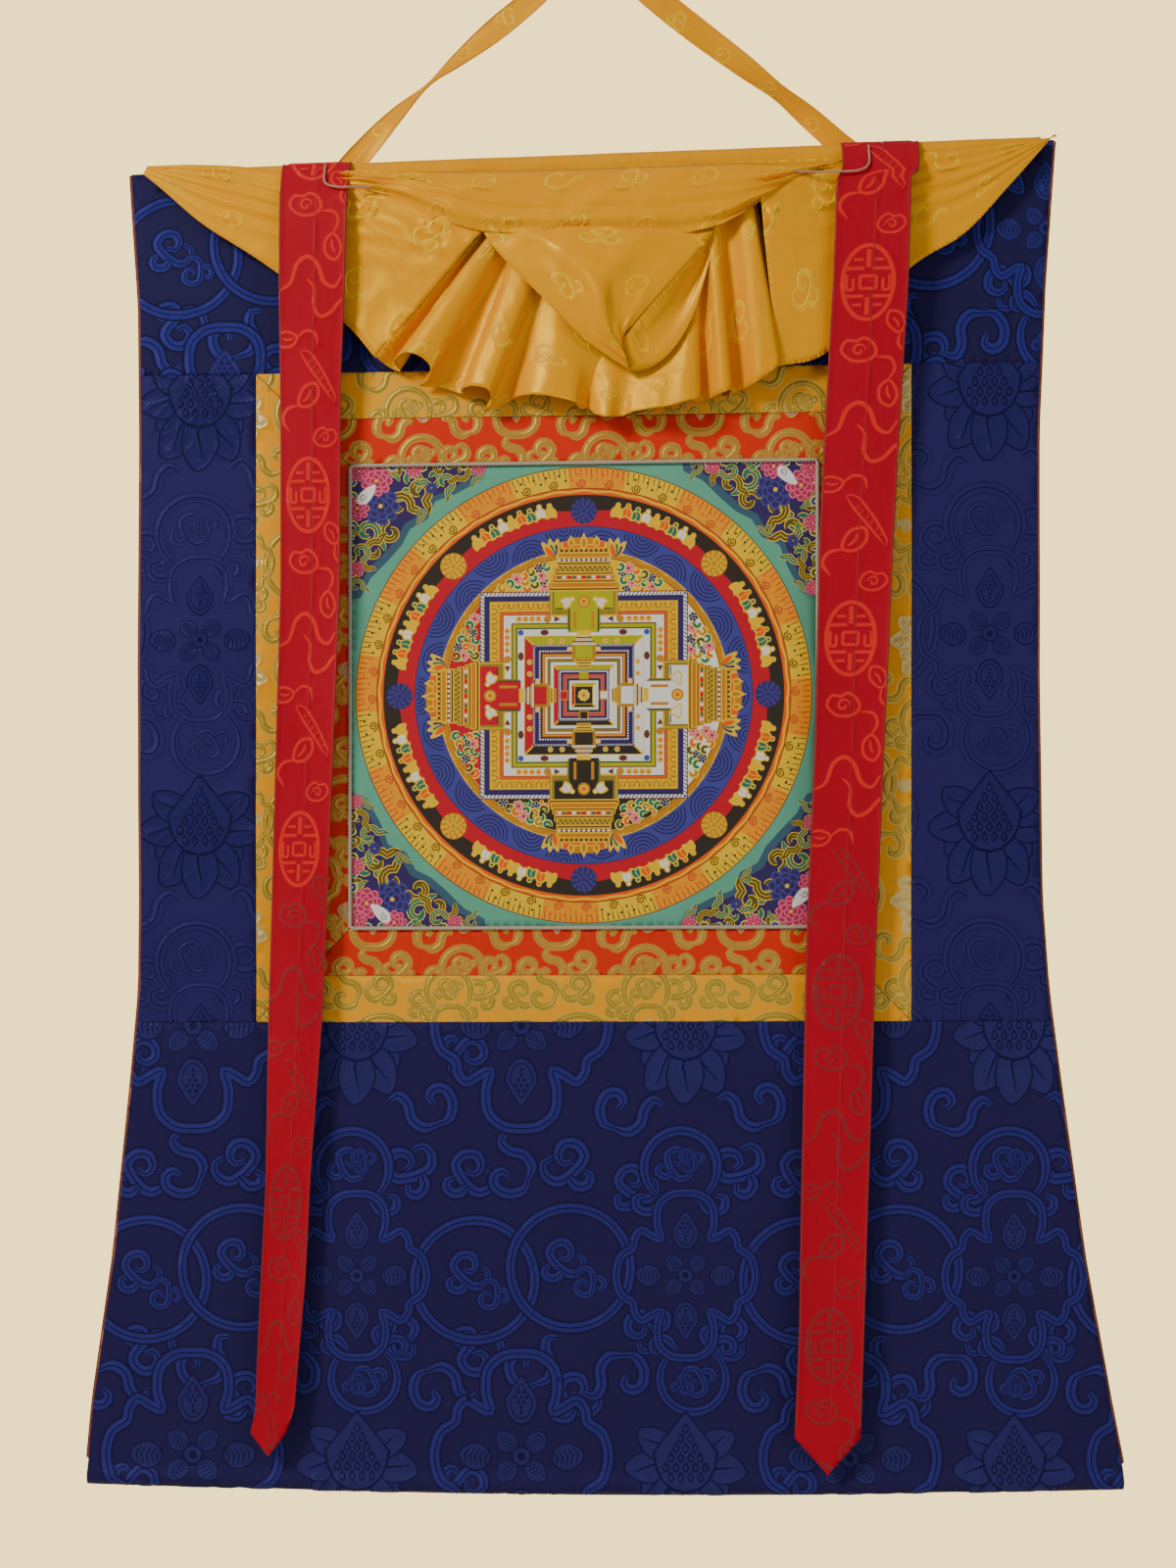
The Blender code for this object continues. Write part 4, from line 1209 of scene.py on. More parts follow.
def heading_surface(x, z):
    """Round the heading's section: z is 0 at the foot of its back, and falls over the top."""
    x = np.asarray(x, float)
    height = head_height(x)
    back, front, round_off = HEAD_FRONT + HEAD_DEPTH, HEAD_FRONT, 4.5
    share = np.clip(-np.asarray(z, float) / HEAD_WRAP, 0, 1)
    marks = (0, 0.34, 0.37, 0.395, 0.605, 0.63, 0.66, 1.0)
    across = (back, back, back - 1.2, back - round_off, front + round_off, front + 1.2, front, front)
    rise = (0, 0.0, 0.7, 1, 1, 0.7, 0, 0)
    y = np.interp(share, marks, across)
    down = np.where((share < 0.34) | (share > 0.66), 1 - np.minimum(share, 1 - share) / 0.34, 0)
    corner = np.minimum(round_off, height * 0.42)
    level = corner * (1 - np.interp(share, marks, rise)) + down * (height - corner)
    from_end = np.minimum(x - HEAD_LEFT, HEAD_RIGHT - x)
    shut = np.sqrt(np.clip(from_end / 3, 0.02, 1))
    middle = HEAD_FRONT + HEAD_DEPTH / 2
    puff = 0.5 * np.sin(x * 0.045) + 0.35 * np.sin(x * 0.11 + share * 9)
    y = middle + (y - middle) * shut + puff * np.sign(y - middle) * 0.6
    level = height / 2 + (level - height / 2) * shut
    return np.stack([x, y, TOP_Z - level + rise_at(TOP_Z) * x], axis=-1)


HEAD_WRAP = 2 * HEAD_HEIGHT + HEAD_DEPTH


def meander(drawing, ink, left, right, z, size=7.0):
    """A broken key pattern in a row."""
    x = left
    chance = random.Random(11)
    while x < right:
        step = size * chance.choice((0.8, 1.2, 1.8))
        drawing.stroke(ink, [(x, z), (x + step * 0.7, z)], size * 0.32, raised=0.1, tips=(1, 1))
        drawing.stroke(ink, [(x + 1, z - size * 0.7), (x + step * 0.5, z - size * 0.7)], 1.3, tips=(1, 1))
        x += step + 2


def make_heading():
    drawing = Drawing("silk_ground")
    meander(drawing, "silk_figure", -200, 190, -HEAD_WRAP + 12)
    for number in range(12):
        x = -330 + number * 60
        drawing.stamp((c_cloud, s_cloud, coin)[number % 3], x, -12, 0.6, tone="silk")
    outline = stepped([(HEAD_LEFT, -HEAD_WRAP), (HEAD_RIGHT, -HEAD_WRAP), (HEAD_RIGHT, 0), (HEAD_LEFT, 0)], 5)
    piece = lay("heading_silk", outline, drawing, heading_surface, 5.0, SILK_EDGE)
    flat = (HEAD_RIGHT - HEAD_LEFT, HEAD_WRAP)
    declare(piece, ["heading"], flat)


RIBBON_FRONT = np.array([
    # below the top edge, y
    (2, -15.4), (7, -18.8), (13, -21.6), (20, -25.5), (32, -30.0), (60, -31.0), (100, -29.0),
    (160, -24.0), (240, -20.0), (400, -18.0), (600, -17.0), (760, -18.0), (880, -16.0),
    (960, -18.0), (1010, -17.0),
])
RIBBONS = {
    # ribbon: length of its point, then height, left edge, right edge
    "left": (19, np.array([
        (-1209, -278.5, -250), (-1190, -274.5, -243), (-1084, -270, -234), (-1004, -266, -230),
        (-868, -264, -220), (-524, -254, -206), (-364, -254, -205), (-285, -254, -201),
        (-181, -253, -198),
    ])),
    "right": (30, np.array([
        (-1213, 161.5, 215), (-1124, 165, 217.5), (-1004, 167, 221.5), (-804, 171, 228),
        (-652, 177.5, 234), (-492, 181, 241), (-364, 187, 248), (-284, 191, 252),
        (-196, 194, 254), (-191, 199, 261), (-164, 200, 262),
    ])),
}
RIBBON_WIDTH = 56
RIBBON_BACK = 4.2
RIBBON_TAIL = 42
RIBBON_THICK = 1.6


def ribbon_surface(tip, edges):
    middle_x = (edges[-1][1] + edges[-1][2]) / 2
    top = TOP_Z + float(rise_at(TOP_Z)) * middle_x
    back = HEAD_FRONT + HEAD_DEPTH
    last = edges[0][0]
    route = [
        (RIBBON_BACK, top - RIBBON_TAIL), (RIBBON_BACK, top - RIBBON_TAIL / 2), (RIBBON_BACK, top - 4.5),
        (back - 0.2, top + 0.4), (back - 4, top + 1.5), (HEAD_FRONT + 4.5, top + 1.2),
        (HEAD_FRONT + 0.2, top - 0.4),
    ]
    route += [(y, top - 2.5 - below) for below, y in RIBBON_FRONT if top - 2.5 - below > last]
    route += [(RIBBON_FRONT[-1][1], last), (RIBBON_FRONT[-1][1], last - tip)]
    route = spline(route, 4.0)
    along = np.concatenate([[0], np.cumsum(np.linalg.norm(np.diff(route, axis=0), axis=1))])

    def place(x, z):
        down = -np.asarray(z, float)
        y, height = np.interp(down, along, route[:, 0]), np.interp(down, along, route[:, 1])
        left = np.interp(height, edges[:, 0], edges[:, 1])
        right = np.interp(height, edges[:, 0], edges[:, 2])
        share = np.asarray(x) / RIBBON_WIDTH + 0.5
        at_x = left + (right - left) * share
        hangs = np.clip((top - 40 - height) / 200, 0, 1)
        curl = 1.5 * (2 * share - 1) ** 2 * np.sin(height * 0.013) * hangs
        lean = rise_at(height) * (at_x - middle_x)
        return np.stack([at_x, y + RIBBON_THICK * -0.5 + curl, height + lean], axis=-1)

    return place, along[-1]


def fret_roundel(drawing, tone):
    """An oval ring filled with plain square hooks, alike on both sides."""
    ink = f"{tone}_figure"
    drawing.stroke(ink, ring_of(0, 0, 19, 30, 1.55), 3.2, closed=True)
    drawing.stroke(ink, [(0, 26), (0, 12)], 3.4, tips=(1, 1))
    drawing.stroke(ink, [(0, -26), (0, -12)], 3.4, tips=(1, 1))
    for side in (-1, 1):
        for up in (-1, 1):
            drawing.stroke(ink, [(side * 17, up * 11), (side * 3, up * 11)], 2.6, tips=(1, 1))
            drawing.stroke(ink, [(side * 4, up * 18), (side * 11, up * 18)], 2.2, tips=(1, 1))
        drawing.stroke(ink, [(side * 16, 6), (side * 16, -6)], 2.4, tips=(1, 1))
        drawing.stroke(ink, [(side * 16, -6), (side * 11, -6)], 2.4, tips=(1, 1))
        drawing.stroke(ink, [(side * 11, -6), (side * 11, 3)], 2.2, tips=(1, 1))
    square = [(-6, 5), (6, 5), (6, -5), (-6, -5)]
    for start, end in zip(square, square[1:] + square[:1]):
        drawing.stroke(ink, [start, end], 2.4, tips=(1, 1))


def scarf(drawing, tone):
    """A waving scarf end."""
    line = spline([(-26, -14), (-16, -10), (-8, 4), (2, 8), (9, 0), (12, -14), (20, -20), (28, -12)], 3.0)
    drawing.stroke(f"{tone}_figure", line, 3.4, tips=(0.5, 0.4))


def leaf_loop(drawing, tone):
    """A hollow leaf on a bent stem."""
    leaf = spline([(0, 0), (7, 5), (8, 15), (1, 21), (-5, 14), (-4, 5)], 3.4, closed=True)
    drawing.stroke(f"{tone}_figure", leaf, 2.4, closed=True)
    drawing.stroke(f"{tone}_figure", spline([(1, 4), (2, 10), (0, 15)], 3), 2.0)
    drawing.stroke(f"{tone}_figure", spline([(0, 0), (-6, -8), (-4, -17), (6, -20)], 3), 2.6)


def tassel_leaf(drawing, tone):
    """A long leaf with a row of short bars."""
    drawing.stroke(f"{tone}_figure", spline([(-14, 22), (-6, 20), (4, 2), (12, -20), (10, -24)], 3.4), 2.0)
    drawing.stroke(f"{tone}_figure", spline([(-14, 22), (-9, 10), (0, -6), (9, -22)], 3.4), 2.0)
    for step in range(6):
        x, z = -7 + step * 3.0, 12 - step * 5.2
        drawing.stroke(f"{tone}_figure", [(x - 1.5, z - 1), (x + 2, z + 1)], 1.8)


def cloud_knot(drawing, tone):
    """A small cloud with a coiled heart."""
    rim = [(-13, 0), (-9, 8), (-2, 7), (3, 10), (10, 6), (13, -2), (7, -8), (-5, -8)]
    drawing.stroke(f"{tone}_figure", spline(rim, 3.0, closed=True), 2.4, closed=True)
    drawing.stroke(f"{tone}_figure", curl_of(0, 0, 5.5, 1.5, 0, 400, 14), 2.0)


RIBBON_PARTS = (
    # motif, across, down the repeat, size, turn, flip
    (fret_roundel, -2, 0, 1.0, 0, 1),
    (cloud_knot, -6, -54, 1.0, 0, 1),
    (leaf_loop, 17, -78, 1.0, 190, 1),
    (scarf, -4, -104, 1.0, 10, 1),
    (scarf, 10, -136, 0.9, 150, -1),
    (leaf_loop, -12, -160, 0.9, 90, -1),
    (tassel_leaf, 8, -190, 1.0, 10, 1),
    (leaf_loop, -10, -214, 1.1, -40, 1),
    (cloud_knot, 14, -240, 0.8, 0, -1),
    (leaf_loop, 24, -40, 0.9, 30, 1),
)
RIBBON_REPEAT = 286
SHADED_PAST = 0.56  # the share of a ribbon past which its figures are painted darker, as painted shade


def make_ribbons():
    for side, first in (("left", 333), ("right", 180)):
        tip, edges = RIBBONS[side]
        place, length = ribbon_surface(tip, edges)
        drawing = Drawing("ribbon_ground")
        half = RIBBON_WIDTH / 2
        for repeat in range(-1, 5):
            for motif, across, down, size, turn, flip in RIBBON_PARTS:
                z = -(first + repeat * RIBBON_REPEAT) + down
                # Lower down the ribbon the same figures take a darker ink: painted shade.
                tone = "ribbon" if z > -SHADED_PAST * length else "ribbon_low"
                if z < -8:
                    drawing.stamp(motif, across, z, size, turn, flip, tone=tone)
        for edge in (-1, 1):
            drawing.stroke("ribbon_edge", [(edge * (half - 0.8), -z) for z in np.arange(0, length - tip, 12)],
                           1.6, tips=(1, 1), raised=0.3)
        drawing.stroke("ribbon_edge", [(2, -z) for z in np.arange(0, length - tip, 12)], 0.7, tips=(1, 1))
        corners = [(-half, 0), (-half, tip - length), (0, -length), (half, tip - length), (half, 0)]
        outline = stepped(corners, 7)
        piece = lay(f"{side}_ribbon", outline, drawing, place, 7.0, RIBBON_THICK)
        declare(piece, [f"ribbon_{side}"], (RIBBON_WIDTH, length))


STRAP_PATH = np.array([
    # x, y, z, width, turn of its face in degrees
    (-214, 6.4, -202, 20, 0), (-203, 6.4, -182, 20, 0), (-186, 6.4, -162, 19, 8),
    (-160, 6.0, -134, 18, 40), (-136, 5.5, -112, 18, 68), (-112, 5.0, -92, 18, 40),
    (-80, 4.0, -66, 20, 10), (-50, 2.5, -42, 20, 18), (-28, 1.0, -23, 20, 45),
    (-12, 0.0, -8, 19, 72), (-4.5, 0.0, -1.4, 18, 86), (0, 0.0, 0.3, 18, 90),
    (4.5, 0.0, -1.4, 18, 94), (12, 0.0, -8, 19, 108), (26, 1.0, -21, 20, 140),
    (48, 2.5, -40, 21, 168), (80, 4.0, -65, 21, 174), (116, 5.0, -92, 19, 150),
    (150, 5.5, -118, 18, 118), (176, 6.0, -139, 18, 150), (196, 6.4, -156, 19, 176),
    (212, 6.4, -170, 20, 180), (222, 6.4, -186, 20, 180),
])
STRAP_WIDTH = 20


def make_strap():
    line = spline(STRAP_PATH, 3.0)
    run = np.gradient(line[:, :3], axis=0)
    run /= np.linalg.norm(run, axis=1)[:, None]
    flat = np.cross(run, (0, 1, 0))
    flat /= np.linalg.norm(flat, axis=1)[:, None]
    deep = np.cross(flat, run)
    turn = np.radians(line[:, 4])[:, None]
    across = (flat * np.cos(turn) + deep * np.sin(turn)) * line[:, 3:4]
    along = np.concatenate([[0], np.cumsum(np.linalg.norm(np.diff(line[:, :3], axis=0), axis=1))])
    length = along[-1]

    def place(x, z):
        share = (np.asarray(x) / STRAP_WIDTH)[:, None]
        at = np.stack([np.interp(z, along, line[:, k]) for k in range(3)], axis=-1)
        side = np.stack([np.interp(z, along, across[:, k]) for k in range(3)], axis=-1)
        return at + side * share

    drawing = Drawing("silk_ground")
    for x in (-1.2, 8.6, -8.6):
        drawing.stroke("silk_shade", [(x, z) for z in np.arange(0, length, 8)], 0.9, tips=(1, 1), raised=-0.3)
    for number in range(14):
        drawing.stamp((s_cloud, coin)[number % 2], 3, 20 + number * 46, 0.42, 90, tone="silk")
    half = STRAP_WIDTH / 2
    outline = stepped([(-half, 0), (half, 0), (half, length), (-half, length)], 4)
    piece = lay("strap", outline, drawing, place, 4.0, 1.2)
    declare(piece, ["hanging_strap"], (STRAP_WIDTH, length))


TIES = {
    # tie: its route down the ribbon and across into the cover's folds
    "left": ((-218, -18.6, -184), (-218, -21.2, -189), (-218, -24.6, -195), (-217, -28.4, -200.5),
             (-213, -30.4, -203.5), (-206, -31.2, -205), (-197, -31.2, -205), (-188, -30.2, -205),
             (-181, -29, -205)),
    "right": ((221, -19, -168), (221, -21.8, -174), (221, -25, -180), (220, -28.6, -185.5),
              (216, -31.4, -190), (208, -32.6, -192.5), (196, -33, -193), (182, -31.6, -193),
              (168, -30.4, -192.5), (156, -29.6, -191.5)),
}
TIE_DIAMETER = 1.8
PIPING_DIAMETER = 3.0


def cord_curve(name, points, diameter, closed=False):
    curve = bpy.data.curves.new(name, "CURVE")
    curve.dimensions = "3D"
    curve.bevel_depth = diameter / 2 * MM
    curve.bevel_resolution = 4
    curve.use_fill_caps = not closed
    line = curve.splines.new("POLY")
    line.points.add(len(points) - 1)
    for end, point in zip(line.points, points):
        end.co = (*(np.array(point) * MM), 1.0)
    line.use_cyclic_u = closed
    line.use_smooth = True
    piece = bpy.data.objects.new(name, curve)
    bpy.context.scene.collection.objects.link(piece)
    return piece


def make_ties():
    for side, route in TIES.items():
        line = spline(route, 1.8)
        piece = cord_curve(f"{side}_tie", line, TIE_DIAMETER)
        piece.data.materials.append(INKS["tie"])
        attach(piece, "root")
        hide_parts(f"tie_cord_{side}")


def make_piping():
    """The twisted cord sewn along the painting's edges."""
    half_x, half_z, turn = PAINTING_WIDTH / 2 - 1, PAINTING_HEIGHT / 2 - 1, 3.0
    ring = []
    for sign_x, sign_z, first in ((1, 1, 0), (-1, 1, 90), (-1, -1, 180), (1, -1, 270)):
        ring.extend(arc(sign_x * (half_x - turn), sign_z * (half_z - turn), turn, first, first + 90, 4))
    ring = stepped(ring, 6.0) + (CENTRE_X, CENTRE_Z)
    points = hung(ring[:, 0], ring[:, 1], -(BROCADE / 2 + SEAM_GAP + PIPING_DIAMETER / 2))
    piece = cord_curve("piping", points, PIPING_DIAMETER, closed=True)
    piece.data.materials.append(INKS["piping"])
    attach(piece, "root")
    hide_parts("painting_piping")


# ---------------------------------------------------------------- the painting, drawn in units of 0.8 mm

PAINT_SCALE = 0.8
PAINTS = {
    # paint: red, green, blue
    "teal": (0.127, 0.438, 0.315),
    "lake": (0.049, 0.122, 0.190),
    "navy": (0.040, 0.024, 0.136),
    "water": (0.060, 0.065, 0.341),
    "wave": (0.028, 0.019, 0.130),
    "olive": (0.129, 0.103, 0.020),
    "leaf": (0.017, 0.200, 0.143),
    "gilt": (1.000, 0.600, 0.012),
    "pale_gilt": (1.000, 0.900, 0.159),
    "bronze": (0.634, 0.263, 0.009),
    "old_gold": (0.332, 0.233, 0.026),
    "pink": (1.000, 0.141, 0.298),
    "rose": (0.425, 0.038, 0.112),
    "white": (0.950, 0.950, 0.930),
    "yellow": (1.000, 0.560, 0.001),
    "orange": (1.000, 0.123, 0.001),
    "flame": (1.000, 0.360, 0.005),
    "black": (0.038, 0.029, 0.021),
    "red": (0.596, 0.011, 0.028),
    "green": (0.484, 0.492, 0.001),
    "moss": (0.026, 0.075, 0.030),
    "brown": (0.167, 0.041, 0.022),
    "sky": (0.060, 0.094, 0.461),
}
RING = 233
SIDES_OF_PALACE = ((0, "green"), (-90, "white"), (180, "black"), (90, "red"))


def make_paints():
    for name, colour in PAINTS.items():
        paint = Finish(f"paint_{name}", colour, 0.62, specular_ior_level=0.2)
        weave = paint.ribs(2600, "X") * 0.5 + paint.ribs(2600, "Y") * 0.5
        grain = paint.noise(700, 3)
        wear = paint.noise(28, 4)
        tone = paint.mix(wear, shade(colour, 0.84), shade(colour, 1.12))
        paint.colour(paint.mix(grain * 0.5, tone, shade(colour, 0.8)))
        paint.feed("Roughness", 0.52 + grain * 0.2)
        paint.bump(weave * 0.6 + grain * 0.5, 0.00006)
        INKS[name] = paint.material


def line(drawing, ink, points, width, tips=(1, 1), closed=False):
    """A painted line, quite flat."""
    drawing.stroke(ink, points, width, tips=tips, raised=0.0, closed=closed)


def box(drawing, ink, left, low, right, high):
    drawing.patch(ink, [(left, low), (right, low), (right, high), (left, high)])


def disc(drawing, ink, radius, x=0.0, z=0.0, steps=120):
    drawing.patch(ink, ring_of(x, z, radius, steps))


def sector(drawing, ink, inner, outer, first, last, steps=8):
    rim = arc(0, 0, outer, first, last, steps)
    drawing.patch(ink, np.vstack([rim, arc(0, 0, inner, last, first, steps)]))


def at_ring(radius, degrees):
    angle = math.radians(degrees)
    return radius * math.cos(angle), radius * math.sin(angle)


def blossom(drawing, petal_ink, heart, radius=6.0, petals=6):
    """A round flower: petals, each with a pale rim, about a heart."""
    for number in range(petals):
        x, z = at_ring(radius * 0.62, 360 * number / petals + 12)
        drawing.patch("pale_gilt", ring_of(x, z, radius * 0.46, 9))
        drawing.patch(petal_ink, ring_of(x, z, radius * 0.36, 9))
    drawing.patch(heart, ring_of(0, 0, radius * 0.32, 9))


def peony(drawing, dark, pale, radius=15.0):
    """A many-petalled flower in three rounds."""
    for share, petals in ((0.78, 9), (0.50, 7), (0.22, 4)):
        for number in range(petals):
            x, z = at_ring(radius * share, 360 * number / petals + share * 50)
            drawing.patch(pale, ring_of(x, z, radius * 0.27, 8))
            drawing.patch(dark, ring_of(x * 0.96, z * 0.96, radius * 0.20, 6))
    drawing.patch("gilt", ring_of(0, 0, radius * 0.12, 8))


def leaf_curl(drawing, ink, width=7.0, rim="gilt"):
    """A leaf that curls into itself, edged all round."""
    path = np.vstack([
        spline([(-19, -16), (-11, -15), (-4, -9)], 3.0)[:-1],
        curl_of(6, 0, 13.5, 4.0, 222, 560, 11),
    ])
    line(drawing, rim, path, width + 2.4, (0.25, 0.5))
    line(drawing, ink, path, width, (0.2, 0.4))
    line(drawing, rim, path[3:-4], 0.9)


def comma(drawing, ink, size=4.6, rim="pale_gilt"):
    """A small curled drop with a bright rim."""
    path = curl_of(0, 0, size, size * 0.45, -30, 230, 7)
    line(drawing, rim, path, size * 1.25, (0.5, 0.8))
    line(drawing, ink, path, size * 0.72, (0.5, 0.8))


def flame_ring(drawing):
    """The outer ring: rayed segments in yellow and orange by turns, with swirls and seeds."""
    disc(drawing, "brown", RING)
    segments = 24
    step = 360 / segments
    for number in range(segments):
        first = number * step + 4
        warm = number % 2
        sector(drawing, "flame" if warm else "gilt", 211, RING - 1, first, first + step)
        mark = "red" if warm else "black"
        for ray in range(11):
            turn = first + (ray + 0.5) * step / 11
            start = 219 + 4 * (ray % 2)
            line(drawing, mark, [at_ring(start, turn), at_ring(RING - 2, turn + 0.25)], 1.15, (0.4, 1))
        for dot in range(9):
            x, z = at_ring(225 if dot % 2 else 219.5, first + (dot + 0.5) * step / 9)
            drawing.patch("orange" if warm else "black", ring_of(x, z, 1.35, 6))
        for swirl in range(2):
            x, z = at_ring(216.5, first + (swirl + 0.55) * step / 2)
            drawing.patch("flame" if warm else "yellow", ring_of(x, z, 5.6, 12))
            line(drawing, mark, curl_of(x, z, 5.2, 0.8, first + 90, first + 720, 12), 1.15)
    disc(drawing, "brown", 211.5)
    disc(drawing, "orange", 210.6)
    wave = [at_ring(208.2 + 0.8 * math.sin(k * 1.57), k * 2.0) for k in range(180)]
    line(drawing, "gilt", wave, 2.2, closed=True)
    disc(drawing, "orange", 206.2)
    disc(drawing, "brown", 204.6)


GARLAND = ("yellow", "white", "leaf", "orange", "yellow", "white", "leaf", "orange", "yellow")


def bud_figure(drawing, ink):
    """A rounded bud with a bead over it, edged in gilt."""
    body = spline([(-4.6, -5.5), (-5.0, 1), (-1.5, 4.6), (1.5, 4.6), (5.0, 0), (4.2, -6), (0, -4.5)], 3.0,
                  closed=True)
    drawing.patch("gilt", body * 1.22)
    drawing.patch("gilt", ring_of(0, 6.4, 3.0, 8))
    drawing.patch(ink, body * 0.86)
    drawing.patch(ink, ring_of(0, 6.4, 1.7, 6))
    line(drawing, "gilt", [(-1, 3), (0.6, -1), (-0.5, -4)], 0.8)


def charnel_ring(drawing):
    """The black and red ring with its eight roundels and the garlands between them."""
    disc(drawing, "black", 204)
    edge = [at_ring(189 + 1.6 * math.sin(k * 0.52), k * 2.0) for k in range(180)]
    drawing.patch("red", edge)
    for eighth in range(8):
        middle = eighth * 45 + 22.5
        for number, ink in enumerate(GARLAND):
            turn = middle + (number - 4) * 3.05
            x, z = at_ring(190 + 1.2 * (number % 2), turn)
            drawing.stamp(bud_figure, x, z, 1.0, turn - 90, ink=ink)
        x, z = at_ring(188, eighth * 45)
        dark, pale = ("navy", "water") if eighth % 2 == 0 else ("bronze", "gilt")
        drawing.patch(dark, ring_of(x, z, 13.5, 20))
        for share, beads in ((0.86, 12), (0.58, 9), (0.28, 5)):
            for bead in range(beads):
                dx, dz = at_ring(13.0 * share, 360 * bead / beads + share * 40)
                drawing.patch(pale, ring_of(x + dx, z + dz, 1.9, 7))
                drawing.patch(dark, ring_of(x + dx, z + dz, 0.8, 5))


def water_ring(drawing):
    """Deep blue water in fans of ripples."""
    disc(drawing, "navy", 172.5)
    disc(drawing, "water", 171.6)
    fans = 26
    for number in range(fans):
        turn = 360 * number / fans
        outer = number % 2
        x, z = at_ring(171 if outer else 149, turn)
        facing = turn + 180 if outer else turn
        for radius in (19, 15.2, 11.4, 7.6, 3.8):
            line(drawing, "wave", arc(x, z, radius, facing - 82, facing + 82, 10), 1.5)
    disc(drawing, "gilt", 149)
    disc(drawing, "bronze", 148)
    for number in range(72):
        x, z = at_ring(145, number * 5)
        scale_mark = arc(x, z, 3.0, number * 5 - 40, number * 5 + 70, 5)
        line(drawing, "gilt" if number % 2 else "old_gold", scale_mark, 1.0)
    disc(drawing, "brown", 142.2)
    disc(drawing, "gilt", 141.4)


GROUNDS = ((90, "yellow"), (0, "white"), (-90, "black"), (180, "red"))


def courtyard(drawing):
    """The four coloured quarters behind the palace, strewn with curls and flowers."""
    chance = random.Random(21)
    for turn, ink in GROUNDS:
        drawing.patch(ink, np.vstack([[(0, 0)], arc(0, 0, 140.6, turn - 45, turn + 45, 24)]))
    for row, radius in enumerate((111, 117.5, 124, 130.5, 137)):
        count = int(2 * math.pi * radius / 8.4)
        for number in range(count):
            angle = 360 * (number + 0.5 * (row % 2)) / count
            x, z = at_ring(radius + chance.uniform(-1, 1), angle)
            if min(abs(x), abs(z)) < 37 or max(abs(x), abs(z)) < 109:
                continue
            kind = (number + 2 * row) % 7
            if kind == 0:
                drawing.stamp(blossom, x, z, 1.0, angle, petal_ink="pink", heart="rose")
            elif kind == 4:
                drawing.stamp(blossom, x, z, 0.85, angle, petal_ink="navy", heart="water")
            else:
                paint = ("orange", "leaf", "bronze", "leaf", "orange", "olive", "orange")[kind]
                drawing.stamp(comma, x, z, 0.95, chance.uniform(0, 360), ink=paint)


def rope(drawing, half, width=3.2, pitch=4.0, hidden=0.0):
    """A white and blue twisted cord round a square, left out where a gate hides it."""
    box(drawing, "white", -half, -half, half, half)
    count = int(2 * half / pitch)
    for turn in (0, 90, 180, 270):
        drawing.stamp(rope_side, 0, 0, 1.0, turn, half=half, width=width, count=count, hidden=hidden)


def rope_side(drawing, half, width, count, hidden):
    for number in range(count):
        x = -half + (number + 0.5) * 2 * half / count
        if abs(x) >= hidden:
            line(drawing, "navy", [(x - 1.2, half - width), (x + 1.2, half)], 1.1)


GATE_HALF = 35
INNER_GATE_HALF = 12
INNER_GATE_TOP = 50.5
THREAD_REACH = 1.9  # from the middle of a rope's thread to its ends
PALACE_WALLS = (
    # half size, paint
    (101.6, "navy"), (96.2, "old_gold"), (95.6, "yellow"), (85.6, "brown"), (85.0, "orange"),
    (82.6, "brown"), (81.8, "white"), (73.8, "brown"), (72.6, "green"), (69.0, "moss"),
    (67.6, "white"), (60.8, "gilt"),
)
INNER_WALLS = (
    (49.8, "navy"), (43.6, "brown"), (41.8, "flame"), (40.0, "brown"), (39.2, "white"),
    (37.2, "brown"), (36.4, "old_gold"), (34.6, "moss"), (33.8, "white"), (31.0, "gilt"),
)
HEART_WALLS = (
    (23.6, "navy"), (21.0, "orange"), (19.6, "brown"), (18.8, "pink"), (17.6, "brown"),
    (16.8, "moss"), (14.8, "white"), (12.6, "gilt"),
)


def walls(drawing, table):
    for half, ink in table:
        box(drawing, ink, -half, -half, half, half)


def fields(drawing, half):
    """The four floors of a courtyard, mitred at its corners."""
    for turn, ink in SIDES_OF_PALACE:
        drawing.stamp(floor_field, 0, 0, 1.0, turn, ink=ink, half=half)


def floor_field(drawing, ink, half):
    drawing.patch("gilt", [(-half, half), (0, 0), (half, half)])
    drawing.patch(ink, [(-half + 1.2, half), (0, 1), (half - 1.2, half)])
    if half > 40:
        for side in (-1, 1):
            for x in (34, 22):
                drawing.stamp(blossom, side * x, half - 5, 0.45, 0, petal_ink="yellow", heart="orange")


def wall_marks(drawing):
    """What hangs on one side of the palace wall: swags, garland beads and jewels."""
    for number in range(18):
        x = -84 + number * 10
        if abs(x) < 32:
            continue
        line(drawing, "brown", arc(x, 94, 2.6, 180, 360, 7, 2.4), 0.8)
        for thread in (4.0, 5.4, 6.8):
            line(drawing, "bronze", [(x + thread, 94.5), (x + thread, 87)], 0.6)
    for side in (-1, 1):
        for number in range(4):
            x = side * (66 - number * 6.6)
            drawing.patch("gilt", ring_of(x, 77.8, 3.3, 9))
            drawing.patch("orange", ring_of(x, 78.4, 1.5, 8))
        drawing.patch("bronze", ring_of(side * 37, 77.8, 4.0, 9))
        drawing.patch("brown", [(side * 30, 81), (side * 24, 77.8), (side * 30, 74.6)])
        drawing.patch("brown", ring_of(side * 40, 64.2, 4.4, 9, 0.7))
        drawing.patch("sky", ring_of(side * 64.2, 64.2, 3.0, 10))


